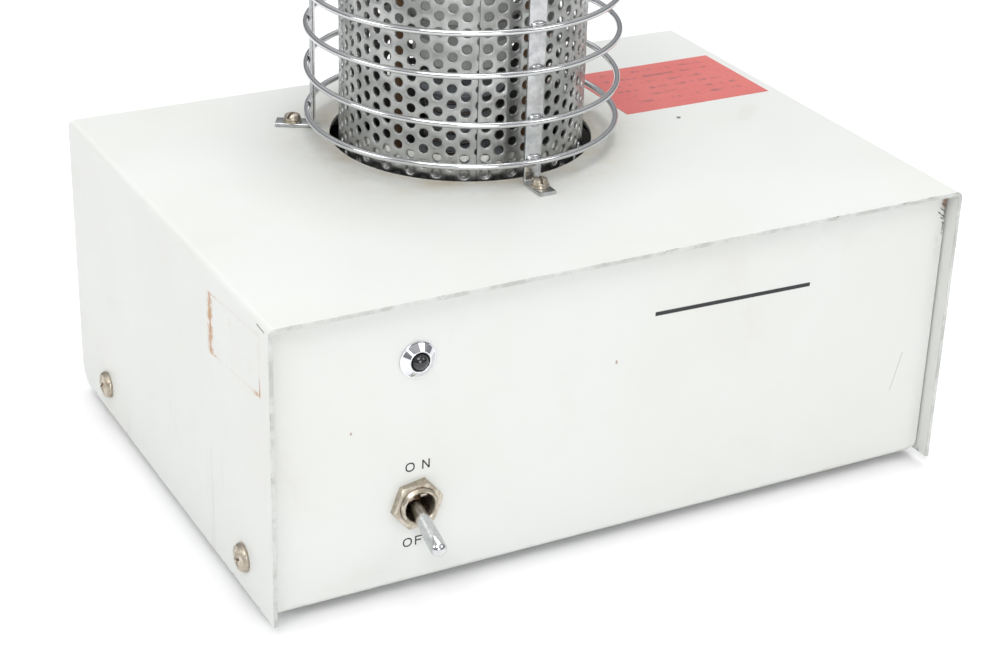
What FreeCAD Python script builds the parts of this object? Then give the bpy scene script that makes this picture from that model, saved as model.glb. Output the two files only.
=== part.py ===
"""Bench ozone remover: a painted steel case with a heated catalyst cylinder inside a wire guard on its top.

Millimetres. X runs to the right seen from the front, Y towards the back, Z up. The origin lies on the table,
under the centre of the whole object's box.
"""
import FreeCAD, Part
import math
import os

V = FreeCAD.Vector
X_AXIS, Y_AXIS, Z_AXIS = V(1, 0, 0), V(0, 1, 0), V(0, 0, 1)

# ---------------------------------------------------------------- driving dimensions
COVER_W, COVER_D, COVER_H = 234.0, 170.0, 95.0
SHEET = 1.2                      # cover and chassis sheet
COVER_LIFT = 3.5                 # the cover's lower edge above the table
FRONT_RECESS, BACK_RECESS = 5.0, 3.0              # the panels behind the cover's edges
PAN_BOTTOM = 3.6                 # underside of the chassis, which stands on the feet
PAN_GAP = 0.6                    # between the chassis flanges and the cover's sides

SPIGOT_R, SPIGOT_WALL, SPIGOT_REACH = 19.0, 1.5, 28.0
LEVER_LENGTH, LEVER_TIP_R, LEVER_ANGLE = 19.4, 2.5, 21.9
PIVOT_DEPTH = 8.0                # the lever's pivot behind the cover's front edge

OUTLET_X, OUTLET_DEPTH = -3.5, 109.6
OUTLET_R = 42.9                  # round hole in the cover
TUBE_R, TUBE_WALL = 40.0, 0.8    # perforated cylinder
TUBE_BOTTOM, TUBE_TOP = 90.0, 203.0
HOLE_R, HOLE_PITCH, HOLE_COLUMNS = 1.5, 5.12, 57
SEAM_ANGLE = -110.1              # where the rolled sheet's two edges meet
SEAM_TO_COLUMN = 4.1             # degrees from the seam to the first column
SEAM_STEP = 9.4                  # degrees between the two columns beside the seam
FIRST_ROW = 1.0                  # a row of holes this far above the cover's top

RING_R, WIRE_R = 50.3, 1.0
RING_HEIGHTS = (7.8, 22.2, 37.3, 50.7, 66.0, 81.2, 97.0)     # of the hand-spaced rings above the cover
LEANING_RING, RING_LEAN, LEAN_TOWARDS = 1, 1.5, -59.0        # one ring is welded on askew
STRAP_W, STRAP_T = 6.4, 1.25
STRAP_ANGLES = (-90.0, 30.0, 150.0)
STRAP_SCREW_R, STRAP_FOOT_R = (53.7, 54.5, 55.3), (59.3, 60.0, 60.7)     # each foot is bent by hand
GUARD_TOP = 211.5

CONTROL_X = -70.0                # switch and lamp share one vertical line
SWITCH_Z, LAMP_Z = 30.7, 77.6
POST_ANGLES = (150.0, -30.0)
POST_RING_R, POST_R = 21.0, 2.4
M3_HOLE, M4_HOLE = 1.6, 2.1      # clearance hole radii
M3_THREAD, M4_THREAD = 1.25, 1.95

# ---------------------------------------------------------------- derived places
FRONT_REACH = LEVER_LENGTH * math.cos(math.radians(LEVER_ANGLE)) + LEVER_TIP_R - PIVOT_DEPTH
Y_FRONT = (FRONT_REACH - COVER_D - SPIGOT_REACH) / 2
Y_BACK = Y_FRONT + COVER_D
HALF_W = COVER_W / 2
COVER_TOP = COVER_LIFT + COVER_H
PANEL_Y = Y_FRONT + FRONT_RECESS
BACK_Y = Y_BACK - BACK_RECESS
PAN_HALF = HALF_W - SHEET - PAN_GAP
PAN_FLOOR = PAN_BOTTOM + SHEET
PANEL_TOP = COVER_TOP - SHEET - 0.5
OUTLET_Y = Y_FRONT + OUTLET_DEPTH
OUTLET = V(OUTLET_X, OUTLET_Y, 0)
PIVOT = V(CONTROL_X, Y_FRONT + PIVOT_DEPTH, SWITCH_Z)
SPIGOT_X, SPIGOT_Z = 68.0, 52.0
INLET_X, INLET_Z = -70.0, 34.0
FUSE_X, FUSE_Z = -70.0, 68.0
FAN_HALF, FAN_BOTTOM, FAN_TOP, FAN_HOLE = 40.0, 50.8, 88.8, 35.75
SIDE_SCREWS = [(Y_FRONT + 22.3, 14.7), (Y_FRONT + 142.5, 14.0)]
FEET = [(x, y) for x in (-97.0, 97.0) for y in (Y_FRONT + 22.0, Y_FRONT + 148.0)]
FAN_CORNERS = [(OUTLET_X + sx * FAN_HOLE, OUTLET_Y + sy * FAN_HOLE) for sx in (-1, 1) for sy in (-1, 1)]
SPIGOT_SCREW_RING, SPIGOT_FLANGE_R = 25.5, 29.5
INLET_SCREW_X = 20.0


# ---------------------------------------------------------------- helpers
def box(x0, x1, y0, y1, z0, z1):
    return Part.makeBox(x1 - x0, y1 - y0, z1 - z0, V(x0, y0, z0))


def cyl(r, length, at, axis=Z_AXIS):
    return Part.makeCylinder(r, length, at, axis)


def tube(r_out, r_in, length, at, axis=Z_AXIS):
    return cyl(r_out, length, at, axis).cut(cyl(r_in, length, at, axis))


def polar(radius, angle, z=0.0):
    a = math.radians(angle)
    return V(radius * math.cos(a), radius * math.sin(a), z)


def fuse(shapes):
    first = shapes[0]
    return first.fuse(shapes[1:]).removeSplitter() if len(shapes) > 1 else first


def cut(shape, tools):
    return shape.cut(Part.makeCompound(tools))


def rounded_face(points, radii):
    """A flat face whose outline is the polygon through the points, each corner rounded to its radius."""
    count = len(points)
    edges, ends = [], []
    for i in range(count):
        before, corner, after = points[i - 1], points[i], points[(i + 1) % count]
        radius = radii[i]
        if radius <= 0:
            ends.append((corner, corner))
            continue
        to_before = (before - corner).normalize()
        to_after = (after - corner).normalize()
        half = to_before.getAngle(to_after) / 2
        setback = radius / math.tan(half)
        centre = corner + (to_before + to_after).normalize() * (radius / math.sin(half))
        start = corner + to_before * setback
        end = corner + to_after * setback
        middle = centre + (corner - centre).normalize() * radius
        edges.append((i, Part.Arc(start, middle, end).toShape()))
        ends.append((start, end))
    arcs = dict(edges)
    path = []
    for i in range(count):
        if i in arcs:
            path.append(arcs[i])
        leave, arrive = ends[i][1], ends[(i + 1) % count][0]
        if leave.distanceToPoint(arrive) > 1e-6:
            path.append(Part.makeLine(leave, arrive))
    return Part.Face(Part.Wire(path))


def prism(points, radii, along):
    return rounded_face(points, radii).extrude(along)


def rounded_plate(centre, half_x, half_y, thickness, corner):
    """A plate in the XY plane with rounded corners, its lower face at the centre's height."""
    points = [centre + V(sx * half_x, sy * half_y, 0) for sx, sy in ((-1, -1), (1, -1), (1, 1), (-1, 1))]
    return prism(points, [corner] * 4, V(0, 0, thickness))


def hexagon(across_flats, thickness, at, axis, turn=0.0):
    """A hexagonal prism; turn is the angle of its first corner."""
    radius = across_flats / math.sqrt(3)
    points = [polar(radius, turn + 60 * k) for k in range(7)]
    body = Part.Face(Part.makePolygon(points)).extrude(V(0, 0, thickness))
    body.Placement = FreeCAD.Placement(at, FreeCAD.Rotation(Z_AXIS, axis))
    return body


def revolve_about(profile, at, axis):
    """Turn a closed profile of (radius, height) points with corner radii about an axis through a point."""
    points = [V(r, 0, h) for r, h, _ in profile]
    solid = rounded_face(points, [c for _, _, c in profile]).revolve(V(0, 0, 0), Z_AXIS, 360)
    solid.Placement = FreeCAD.Placement(at, FreeCAD.Rotation(Z_AXIS, axis))
    return solid


def nut(across_flats, thickness, hole_r, at, axis=Z_AXIS, turn=0.0):
    """A hexagon nut with chamfered corners on its outer side."""
    corner_r = across_flats / math.sqrt(3)
    blank = hexagon(across_flats, thickness, at, axis, turn)
    dome = revolve_about(
        [(0, 0, 0), (corner_r + 0.01, 0, 0), (corner_r + 0.01, thickness * 0.75, 0),
         (across_flats * 0.48, thickness, 0), (0, thickness, 0)], at, axis)
    return blank.common(dome).cut(cyl(hole_r, thickness, at, axis))


def screw(head_r, head_h, shank_r, shank_l, at, axis, recess="cross", turn=0.0):
    """A pan-head screw: the head stands along the axis from the seat, the shank runs the other way."""
    head = revolve_about(
        [(0, 0, 0), (head_r, 0, 0), (head_r, head_h, head_h * 0.72), (0, head_h, 0)], V(0, 0, 0), Z_AXIS)
    solid = fuse([head, cyl(shank_r, shank_l, V(0, 0, -shank_l))])
    depth = head_h * 0.55
    if recess == "cross":
        width, reach = head_r * 0.22, head_r * 0.5
        arms = [box(-reach, reach, -width / 2, width / 2, head_h - depth, head_h + 1),
                box(-width / 2, width / 2, -reach, reach, head_h - depth, head_h + 1)]
    else:
        width = head_r * 0.3
        arms = [box(-head_r - 1, head_r + 1, -width / 2, width / 2, head_h - depth, head_h + 1)]
    solid = cut(solid, arms)
    solid.rotate(V(0, 0, 0), Z_AXIS, turn)
    solid.Placement = FreeCAD.Placement(at, FreeCAD.Rotation(Z_AXIS, axis)).multiply(solid.Placement)
    return solid


def lead(points, radius, bend):
    """An insulated wire: straight runs joined by arcs of one bend radius."""
    edges, leave = [], points[0]
    for i in range(1, len(points) - 1):
        corner = points[i]
        to_before = (points[i - 1] - corner).normalize()
        to_after = (points[i + 1] - corner).normalize()
        half = to_before.getAngle(to_after) / 2
        setback = bend / math.tan(half)
        start, end = corner + to_before * setback, corner + to_after * setback
        centre = corner + (to_before + to_after).normalize() * (bend / math.sin(half))
        middle = centre + (corner - centre).normalize() * bend
        edges += [Part.makeLine(leave, start), Part.Arc(start, middle, end).toShape()]
        leave = end
    edges.append(Part.makeLine(leave, points[-1]))
    path = Part.Wire(edges)
    circle = Part.Wire(Part.Circle(points[0], (points[1] - points[0]).normalize(), radius).toShape())
    return path.makePipeShell([circle], True, False)


def write(name, shape):
    solids = shape.Solids if shape.Solids else [shape]
    bad = [s for s in solids if not s.isValid() or s.Volume <= 0]
    group = solids[0] if len(solids) == 1 else Part.makeCompound(solids)
    group.exportStep(f"parts/{name}.step")
    state = "BAD" if bad else "ok"
    print(f"{name:22s} {len(solids):3d} solids {sum(s.Volume for s in solids):12.1f} mm3 {state}")


# ---------------------------------------------------------------- case
def make_cover():
    """Top and two sides folded from one sheet, open at the front, back and bottom."""
    fold_out, fold_in, heel = 2.2, 1.0, 7.0
    outer = [V(-HALF_W, 0, COVER_LIFT), V(HALF_W, 0, COVER_LIFT), V(HALF_W, 0, COVER_TOP),
             V(-HALF_W, 0, COVER_TOP)]
    inner_half, inner_top = HALF_W - SHEET, COVER_TOP - SHEET
    inner = [V(-inner_half, 0, 0), V(inner_half, 0, 0), V(inner_half, 0, inner_top),
             V(-inner_half, 0, inner_top)]
    shell = prism(outer, [0, 0, fold_out, fold_out], V(0, COVER_D, 0))
    shell = shell.cut(prism(inner, [0, 0, fold_in, fold_in], V(0, COVER_D, 0)))
    shell.translate(V(0, Y_FRONT, 0))
    corner = box(-HALF_W - 1, HALF_W + 1, Y_BACK - heel, Y_BACK + 1, 0, COVER_LIFT + heel)
    corner = corner.cut(cyl(heel, COVER_W + 2, V(-HALF_W - 1, Y_BACK - heel, COVER_LIFT + heel), X_AXIS))
    holes = [corner, cyl(OUTLET_R, 10, OUTLET + V(0, 0, inner_top - 4))]
    holes += [cyl(M3_HOLE, 10, OUTLET + at + V(0, 0, inner_top - 4)) for at in STRAP_SCREWS]
    holes += [cyl(M4_HOLE, COVER_W + 2, V(-HALF_W - 1, y, z), X_AXIS) for y, z in SIDE_SCREWS]
    return cut(shell, holes)


def pan_block(inset, corner_r, fold_r, top):
    """The solid block that the pan's sheet follows, inset from its outside."""
    half, y0, y1, z0 = PAN_HALF - inset, PANEL_Y + inset, BACK_Y - inset, PAN_BOTTOM + inset
    across = prism([V(-half, y0, z0), V(half, y0, z0), V(half, y0, top), V(-half, y0, top)],
                   [corner_r, corner_r, 0, 0], V(0, y1 - y0, 0))
    along = prism([V(-half, y0, z0), V(-half, y1, z0), V(-half, y1, top), V(-half, y0, top)],
                  [fold_r, fold_r, 0, 0], V(2 * half, 0, 0))
    return across.common(along)


def make_chassis():
    """A pan folded from one sheet: floor, front and back panels with returns, and low side flanges."""
    corner_r, fold_r, flange_top, return_l = 4.5, 2.4, 22.0, 10.0
    pan = pan_block(0, corner_r, fold_r, PANEL_TOP)
    pan = pan.cut(pan_block(SHEET, corner_r - SHEET, fold_r - SHEET, PANEL_TOP + 5))
    above_flanges = box(-PAN_HALF - 1, PAN_HALF + 1, PANEL_Y + return_l, BACK_Y - return_l,
                        flange_top, PANEL_TOP + 1)
    tools = [above_flanges]
    tools += [cyl(M4_HOLE, 2 * PAN_HALF + 2, V(-PAN_HALF - 1, y, z), X_AXIS) for y, z in SIDE_SCREWS]
    tools += [cyl(M4_HOLE, 5, V(x, y, PAN_BOTTOM - 2)) for x, y in FEET]
    tools += [cyl(M4_HOLE, 5, V(x, y, PAN_BOTTOM - 2)) for x, y in FAN_CORNERS]
    tools += [cyl(6.0, 5, V(CONTROL_X, PANEL_Y - 2, SWITCH_Z), Y_AXIS),
              cyl(4.1, 5, V(CONTROL_X, PANEL_Y - 2, LAMP_Z), Y_AXIS),
              cyl(SPIGOT_R - SPIGOT_WALL + 0.2, 5, V(SPIGOT_X, BACK_Y - 3, SPIGOT_Z), Y_AXIS),
              cyl(6.1, 5, V(FUSE_X, BACK_Y - 3, FUSE_Z), Y_AXIS),
              box(INLET_X - 13.6, INLET_X + 13.6, BACK_Y - 3, BACK_Y + 2, INLET_Z - 10.1, INLET_Z + 10.1)]
    tools += [cyl(M3_HOLE, 5, V(INLET_X + s * INLET_SCREW_X, BACK_Y - 3, INLET_Z), Y_AXIS) for s in (-1, 1)]
    tools += [cyl(M3_HOLE, 5, V(x, BACK_Y - 3, z), Y_AXIS) for x, z in spigot_screw_places()]
    return cut(pan, tools)


def make_clinch_nuts():
    """Threaded inserts on the inner side of the chassis flanges."""
    inner = PAN_HALF - SHEET
    nuts = []
    for side in (-1, 1):
        for y, z in SIDE_SCREWS:
            nuts.append(tube(2.9, 1.65, 3.2, V(side * inner, y, z), X_AXIS * -side))
    return Part.makeCompound(nuts)


def make_cover_screws():
    """Pan-head cross-recess screws in the cover's sides."""
    screws = []
    for side in (-1, 1):
        for turn, (y, z) in zip((20, 65), SIDE_SCREWS):
            screws.append(screw(4.6, 2.5, 1.6, 9.0, V(side * HALF_W, y, z), X_AXIS * side, "cross", turn))
    return Part.makeCompound(screws)


FOOT_SEAT = 2.3                  # where a foot's screw head bears, inside the foot


def make_rubber_feet():
    foot = [(M4_HOLE, FOOT_SEAT, 0), (4.2, FOOT_SEAT, 0), (4.2, 0, 0.3), (7.4, 0, 0.8), (8.2, PAN_BOTTOM, 0),
            (M4_HOLE, PAN_BOTTOM, 0)]
    return Part.makeCompound([revolve_about(foot, V(x, y, 0), Z_AXIS) for x, y in FEET])


def make_foot_screws():
    return Part.makeCompound(
        [screw(3.6, 1.6, M4_THREAD, 8.0, V(x, y, FOOT_SEAT), V(0, 0, -1)) for x, y in FEET])


def make_foot_nuts():
    return Part.makeCompound([nut(7.0, 3.0, M4_THREAD, V(x, y, PAN_FLOOR)) for x, y in FEET])


def make_red_label():
    """A plain stuck-on label, 57 by 40, on the right of the top."""
    right, front, thickness = HALF_W - 5.2, Y_FRONT + 100.5, 0.15
    return box(right - 57, right, front, front + 40, COVER_TOP, COVER_TOP + thickness)


# ---------------------------------------------------------------- perforated cylinder and what is in it
def make_perforated_cylinder():
    """Perforated sheet rolled to a cylinder of flats, one to a column of holes, with its edges at a seam.

    The sheet's last edge stands a little proud of its first, and cuts through one more column of holes.
    """
    step = (360 - SEAM_STEP) / (HOLE_COLUMNS - 1)
    first = SEAM_ANGLE + SEAM_TO_COLUMN
    to_corner = 1 / math.cos(math.radians(step / 2))
    edge_gap, edge_lift = 0.2, 0.5

    def side(radius):
        outline = [polar(radius, SEAM_ANGLE + edge_gap)]
        outline += [polar(radius * to_corner, first + step * (k + 0.5)) for k in range(HOLE_COLUMNS)]
        return outline + [polar(radius + edge_lift, SEAM_ANGLE - edge_gap + 360)]

    outside, inside = side(TUBE_R), side(TUBE_R - TUBE_WALL)
    outline = outside + inside[::-1] + [outside[0]]
    sheet = Part.Face(Part.makePolygon(outline)).extrude(V(0, 0, TUBE_TOP - TUBE_BOTTOM))
    sheet.translate(V(0, 0, TUBE_BOTTOM))
    beyond_seam = box(0, TUBE_R + 3, -3, 0, TUBE_BOTTOM, TUBE_TOP)
    beyond_seam.rotate(V(0, 0, 0), Z_AXIS, SEAM_ANGLE)
    punches = []
    for k in range(HOLE_COLUMNS + 1):
        out = polar(1, first + step * k)
        z = COVER_TOP + FIRST_ROW + HOLE_PITCH * (0.5 if k % 2 else 0.0) - 2 * HOLE_PITCH
        while z < TUBE_TOP - HOLE_R - 0.6:
            punch = cyl(HOLE_R, 4 * TUBE_WALL, out * (TUBE_R - 2 * TUBE_WALL) + V(0, 0, z), out)
            if z > TUBE_BOTTOM + HOLE_R + 0.6:
                punches.append(punch if k < HOLE_COLUMNS else punch.common(beyond_seam))
            z += HOLE_PITCH
    sheet = cut(sheet, punches)
    sheet.translate(OUTLET)
    return sheet


def make_cylinder_cap():
    """Perforated lid with a short skirt over the cylinder's top edge."""
    skirt, lid = 6.0, 1.0
    cap = cyl(TUBE_R + 1.6, skirt + lid, V(0, 0, TUBE_TOP - skirt))
    cap = cap.cut(cyl(TUBE_R + 0.8, skirt, V(0, 0, TUBE_TOP - skirt)))
    cap = cap.makeFillet(0.8, [e for e in cap.Edges if abs(e.BoundBox.ZMin - TUBE_TOP - lid) < 1e-3])
    posts = [polar(POST_RING_R, a) for a in POST_ANGLES]
    pitch, rows = 6.0, 6
    punches = [cyl(M3_HOLE, 4, p + V(0, 0, TUBE_TOP - 1)) for p in posts]
    for j in range(-rows, rows + 1):
        for i in range(-rows, rows + 1):
            at = V((i + 0.5 * (j % 2)) * pitch, j * pitch * math.sqrt(3) / 2, TUBE_TOP - 1)
            clear = min(math.hypot(at.x - p.x, at.y - p.y) for p in posts)
            if math.hypot(at.x, at.y) < TUBE_R - 6 and clear > 6:
                punches.append(cyl(HOLE_R, 4, at))
    cap = cut(cap, punches)
    cap.translate(OUTLET)
    return cap


def make_outlet_collar():
    """Square plate on the fan with a drawn neck inside the cylinder, and a bar across for the posts."""
    neck_r, neck_wall = TUBE_R - TUBE_WALL - 0.25, 0.8
    neck_top, plate_t = COVER_TOP + 7.0, TUBE_BOTTOM - FAN_TOP
    plate = rounded_plate(V(0, 0, FAN_TOP), 42.0, 42.0, plate_t, 5.0)
    plate = plate.cut(cyl(neck_r - neck_wall, 5, V(0, 0, FAN_TOP - 1)))
    neck = tube(neck_r, neck_r - neck_wall, neck_top - FAN_TOP, V(0, 0, FAN_TOP))
    bar = box(-neck_r + 0.4, neck_r - 0.4, -5, 5, FAN_TOP, TUBE_BOTTOM)
    bar = fuse([bar, cyl(9, plate_t, V(0, 0, FAN_TOP))])
    bar.rotate(V(0, 0, 0), Z_AXIS, POST_ANGLES[0])
    collar = fuse([plate, neck, bar])
    tools = [cyl(M4_HOLE, 5, V(sx * FAN_HOLE, sy * FAN_HOLE, FAN_TOP - 1))
             for sx in (-1, 1) for sy in (-1, 1)]
    tools += [cyl(M3_HOLE, 5, polar(POST_RING_R, a, FAN_TOP - 1)) for a in POST_ANGLES]
    tools.append(cyl(M4_HOLE, 5, V(0, 0, FAN_TOP - 1)))
    collar = cut(collar, tools)
    collar.translate(OUTLET)
    return collar


def make_ceramic_posts():
    """Two ceramic rods from the collar's bar to the cap, threaded at both ends."""
    posts = []
    for angle in POST_ANGLES:
        rod = cyl(POST_R, TUBE_TOP - TUBE_BOTTOM, polar(POST_RING_R, angle, TUBE_BOTTOM))
        ends = [cyl(M3_THREAD, 9, polar(POST_RING_R, angle, TUBE_BOTTOM)),
                cyl(M3_THREAD, 9, polar(POST_RING_R, angle, TUBE_TOP - 9))]
        posts.append(cut(rod, ends))
    group = Part.makeCompound(posts)
    group.translate(OUTLET)
    return group


def make_post_screws():
    """From below the collar's bar up into the posts."""
    return Part.makeCompound(
        [screw(2.4, 1.6, M3_THREAD, 8, OUTLET + polar(POST_RING_R, a, FAN_TOP), V(0, 0, -1))
         for a in POST_ANGLES])


def make_cap_screws():
    return Part.makeCompound(
        [screw(2.8, 2.0, M3_THREAD, 8, OUTLET + polar(POST_RING_R, a, TUBE_TOP + 1), Z_AXIS, "slot", 40)
         for a in POST_ANGLES])


CAN_R, CAN_WALL, CAN_BOTTOM, CAN_TOP = 16.0, 0.6, 125.5, 198.0


def make_catalyst_canister():
    """Open-bottomed can with a turned-in lip that carries the catalyst."""
    can = tube(CAN_R, CAN_R - CAN_WALL, CAN_TOP - CAN_BOTTOM, V(0, 0, CAN_BOTTOM))
    lip = tube(CAN_R - CAN_WALL / 2, CAN_R - 2.5, CAN_WALL, V(0, 0, CAN_BOTTOM))
    lid = tube(CAN_R - CAN_WALL / 2, 8.0, CAN_WALL, V(0, 0, CAN_TOP - CAN_WALL))
    can = fuse([can, lip, lid])
    can.translate(OUTLET)
    return can


def make_catalyst_core():
    """Ceramic honeycomb block in the can, with straight channels for the air."""
    block_r, pitch = CAN_R - CAN_WALL - 0.3, 4.6
    block = cyl(block_r, CAN_TOP - CAN_BOTTOM - 4, V(0, 0, CAN_BOTTOM + CAN_WALL))
    channels = []
    for j in range(-3, 4):
        for i in range(-3, 4):
            at = V((i + 0.5 * (j % 2)) * pitch, j * pitch * math.sqrt(3) / 2, CAN_BOTTOM - 1)
            if math.hypot(at.x, at.y) < block_r - 2.2:
                channels.append(cyl(1.6, 80, at))
    block = cut(block, channels)
    block.translate(OUTLET)
    return block


def make_canister_bands():
    """Two bands round the can, each with ears on the posts."""
    bands = []
    for z in (134.0, 184.0):
        height, band_r, ear_r = 6.0, CAN_R + 1.0, POST_R + 1.7
        arm = box(-POST_RING_R, POST_RING_R, -1.5, 1.5, z, z + height)
        arm.rotate(V(0, 0, 0), Z_AXIS, POST_ANGLES[0])
        ears = [cyl(ear_r, height, polar(POST_RING_R, a, z)) for a in POST_ANGLES]
        band = fuse([cyl(band_r, height, V(0, 0, z)), arm] + ears)
        bores = [cyl(POST_R + 0.05, height, polar(POST_RING_R, a, z)) for a in POST_ANGLES]
        bands.append(cut(band, bores + [cyl(CAN_R + 0.05, height, V(0, 0, z))]))
    group = Part.makeCompound(bands)
    group.translate(OUTLET)
    return group


HEATER_R, HEATER_BOTTOM, HEATER_TOP = 12.0, TUBE_BOTTOM, 117.0


def make_heater_former():
    """Ceramic bobbin that the heating wire is wound on."""
    flange = 2.0
    rim_r, waist_r, edge = HEATER_R + 2, HEATER_R - 1, 0.6
    bobbin = [(M4_HOLE, HEATER_BOTTOM, 0), (rim_r, HEATER_BOTTOM, edge),
              (rim_r, HEATER_BOTTOM + flange, edge), (waist_r, HEATER_BOTTOM + flange, 0),
              (waist_r, HEATER_TOP - flange, 0),
              (rim_r, HEATER_TOP - flange, edge), (rim_r, HEATER_TOP, edge), (M4_HOLE, HEATER_TOP, 0)]
    return revolve_about(bobbin, OUTLET, Z_AXIS)


def make_heater_coil():
    """Heating wire round the bobbin: half turns that lean, so that each ends half a pitch above its start."""
    wire_r, pitch, turns = 0.5, 3.4, 6
    coil_r, rise = HEATER_R - 1 + wire_r + 0.1, pitch / 2
    lean = math.degrees(math.atan2(rise / 2, coil_r))
    start = V(math.hypot(coil_r, rise / 2), 0, 0)
    section = Part.Face(Part.Wire(Part.Circle(start, Y_AXIS, wire_r).toShape()))
    half_turns = []
    for k in range(2 * turns):
        half = section.revolve(V(0, 0, 0), Z_AXIS, 180)
        half.rotate(V(0, 0, 0), Y_AXIS, lean)
        half.rotate(V(0, 0, 0), Z_AXIS, 180 * (k % 2))
        half.translate(OUTLET + V(0, 0, HEATER_BOTTOM + 3.3 + rise * (k + 0.5)))
        half_turns.append(half)
    return fuse(half_turns)


def make_heater_bolt():
    return screw(3.4, 1.7, 2.0, 31.5, OUTLET + V(0, 0, FAN_TOP), V(0, 0, -1))


def make_heater_nut():
    return nut(7.0, 3.0, 2.05, OUTLET + V(0, 0, HEATER_TOP))


THERMAL_AT = V(OUTLET_X + 33.5, OUTLET_Y - 48.3, TUBE_BOTTOM)


def make_thermal_cutout():
    """Bimetal cut-out on a tongue that lies on the collar's plate, beside the neck."""
    at = THERMAL_AT
    can = revolve_about([(0, 0, 0), (7.5, 0, 0.5), (7.5, 6.5, 1.0), (0, 6.5, 0)], at, Z_AXIS)
    tags = [box(at.x + s * 3 - 1.2, at.x + s * 3 + 1.2, at.y - 11, at.y - 6, at.z + 2, at.z + 2.8)
            for s in (-1, 1)]
    tongue = box(at.x - 5, at.x + 5, at.y, OUTLET_Y - 38.6, at.z, at.z + 1.2)
    tongue = tongue.cut(cyl(4.2, 3, V(FAN_CORNERS[2][0], FAN_CORNERS[2][1], at.z - 1)))
    return fuse([can, tongue] + tags)


# ---------------------------------------------------------------- wire guard
STRAP_SCREWS = [polar(r, a) for r, a in zip(STRAP_SCREW_R, STRAP_ANGLES)]


def make_guard_rings():
    rings = []
    for k, height in enumerate(RING_HEIGHTS):
        ring = Part.makeTorus(RING_R, WIRE_R)
        if k == LEANING_RING:
            ring.rotate(V(0, 0, 0), polar(1, LEAN_TOWARDS + 90), RING_LEAN)
        ring.translate(OUTLET + V(0, 0, COVER_TOP + height))
        rings.append(ring)
    return Part.makeCompound(rings)


def make_guard_straps():
    """Three flat straps: a foot screwed to the cover, an upright inside the rings, an arm over the top."""
    outer = RING_R - WIRE_R - 0.12
    inner = outer - STRAP_T
    arm_end, z0, z1 = 9.0, COVER_TOP, GUARD_TOP
    tight, wide = 0.8, 0.8 + STRAP_T
    straps = []
    for angle, screw_r, foot_r in zip(STRAP_ANGLES, STRAP_SCREW_R, STRAP_FOOT_R):
        outline = [(foot_r, z0, 0), (foot_r, z0 + STRAP_T, 0), (outer, z0 + STRAP_T, tight),
                   (outer, z1, wide), (arm_end, z1, 0), (arm_end, z1 - STRAP_T, 0),
                   (inner, z1 - STRAP_T, tight), (inner, z0, wide)]
        points = [V(r, -STRAP_W / 2, z) for r, z, _ in outline]
        strap = prism(points, [c for _, _, c in outline], V(0, STRAP_W, 0))
        strap = strap.cut(cyl(M3_HOLE, 5, V(screw_r, 0, z0 - 1)))
        strap.rotate(V(0, 0, 0), Z_AXIS, angle)
        straps.append(strap)
    group = Part.makeCompound(straps)
    group.translate(OUTLET)
    return group


def make_guard_top():
    """Concentric wires and a hub disc under the straps' arms, which close the guard's top."""
    under = GUARD_TOP - STRAP_T
    wires = [Part.makeTorus(r, WIRE_R, OUTLET + V(0, 0, under - WIRE_R)) for r in (38.0, 26.0)]
    hub_r, hub_t, edge = 13.0, 1.2, 0.4
    profile = [(0, under - hub_t, 0), (hub_r, under - hub_t, edge), (hub_r, under, edge), (0, under, 0)]
    return Part.makeCompound(wires + [revolve_about(profile, OUTLET, Z_AXIS)])


def make_guard_screws():
    seat = COVER_TOP + STRAP_T + 0.6
    return Part.makeCompound(
        [screw(2.8, 2.1, 1.45, 8.0, OUTLET + at + V(0, 0, seat), Z_AXIS, "slot", turn)
         for at, turn in zip(STRAP_SCREWS, (75, 10, 35))])


def make_guard_washers():
    return Part.makeCompound(
        [tube(3.1, 1.55, 0.6, OUTLET + at + V(0, 0, COVER_TOP + STRAP_T)) for at in STRAP_SCREWS])


def make_guard_nuts():
    return Part.makeCompound(
        [nut(5.5, 2.4, 1.5, OUTLET + at + V(0, 0, COVER_TOP - SHEET), V(0, 0, -1)) for at in STRAP_SCREWS])


# ---------------------------------------------------------------- fan
SHAFT_R, HUB_R, MOTOR_R = 2.5, 19.0, 17.5
BLADE_TIP_R, FAN_BORE_R = 36.6, 38.0
MOTOR_TOP, ROTOR_BOTTOM, ROTOR_TOP = 70.0, 71.5, 84.5


def make_fan_frame():
    """Square cast frame with a round bore, four hollow corner posts and a four-armed motor mount."""
    flange, wall = 4.5, 1.6
    corners = [V(sx * FAN_HOLE, sy * FAN_HOLE, FAN_BOTTOM) for sx in (-1, 1) for sy in (-1, 1)]
    parts = [rounded_plate(V(0, 0, z), FAN_HALF, FAN_HALF, flange, 5.0)
             for z in (FAN_BOTTOM, FAN_TOP - flange)]
    parts.append(cyl(FAN_BORE_R + wall, FAN_TOP - FAN_BOTTOM, V(0, 0, FAN_BOTTOM)))
    parts += [cyl(3.8, FAN_TOP - FAN_BOTTOM, c) for c in corners]
    body = fuse(parts).cut(cyl(FAN_BORE_R, FAN_TOP - FAN_BOTTOM, V(0, 0, FAN_BOTTOM)))
    arms = [box(-FAN_BORE_R - 0.5, FAN_BORE_R + 0.5, -2.5, 2.5, FAN_BOTTOM, FAN_BOTTOM + 3) for _ in range(2)]
    for arm, turn in zip(arms, (45, 135)):
        arm.rotate(V(0, 0, 0), Z_AXIS, turn)
    frame = fuse([body, arms[0], arms[1], cyl(MOTOR_R, 3, V(0, 0, FAN_BOTTOM))])
    frame = cut(frame, [cyl(2.15, 60, c - V(0, 0, 5)) for c in corners])
    frame.translate(OUTLET)
    return frame


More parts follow.
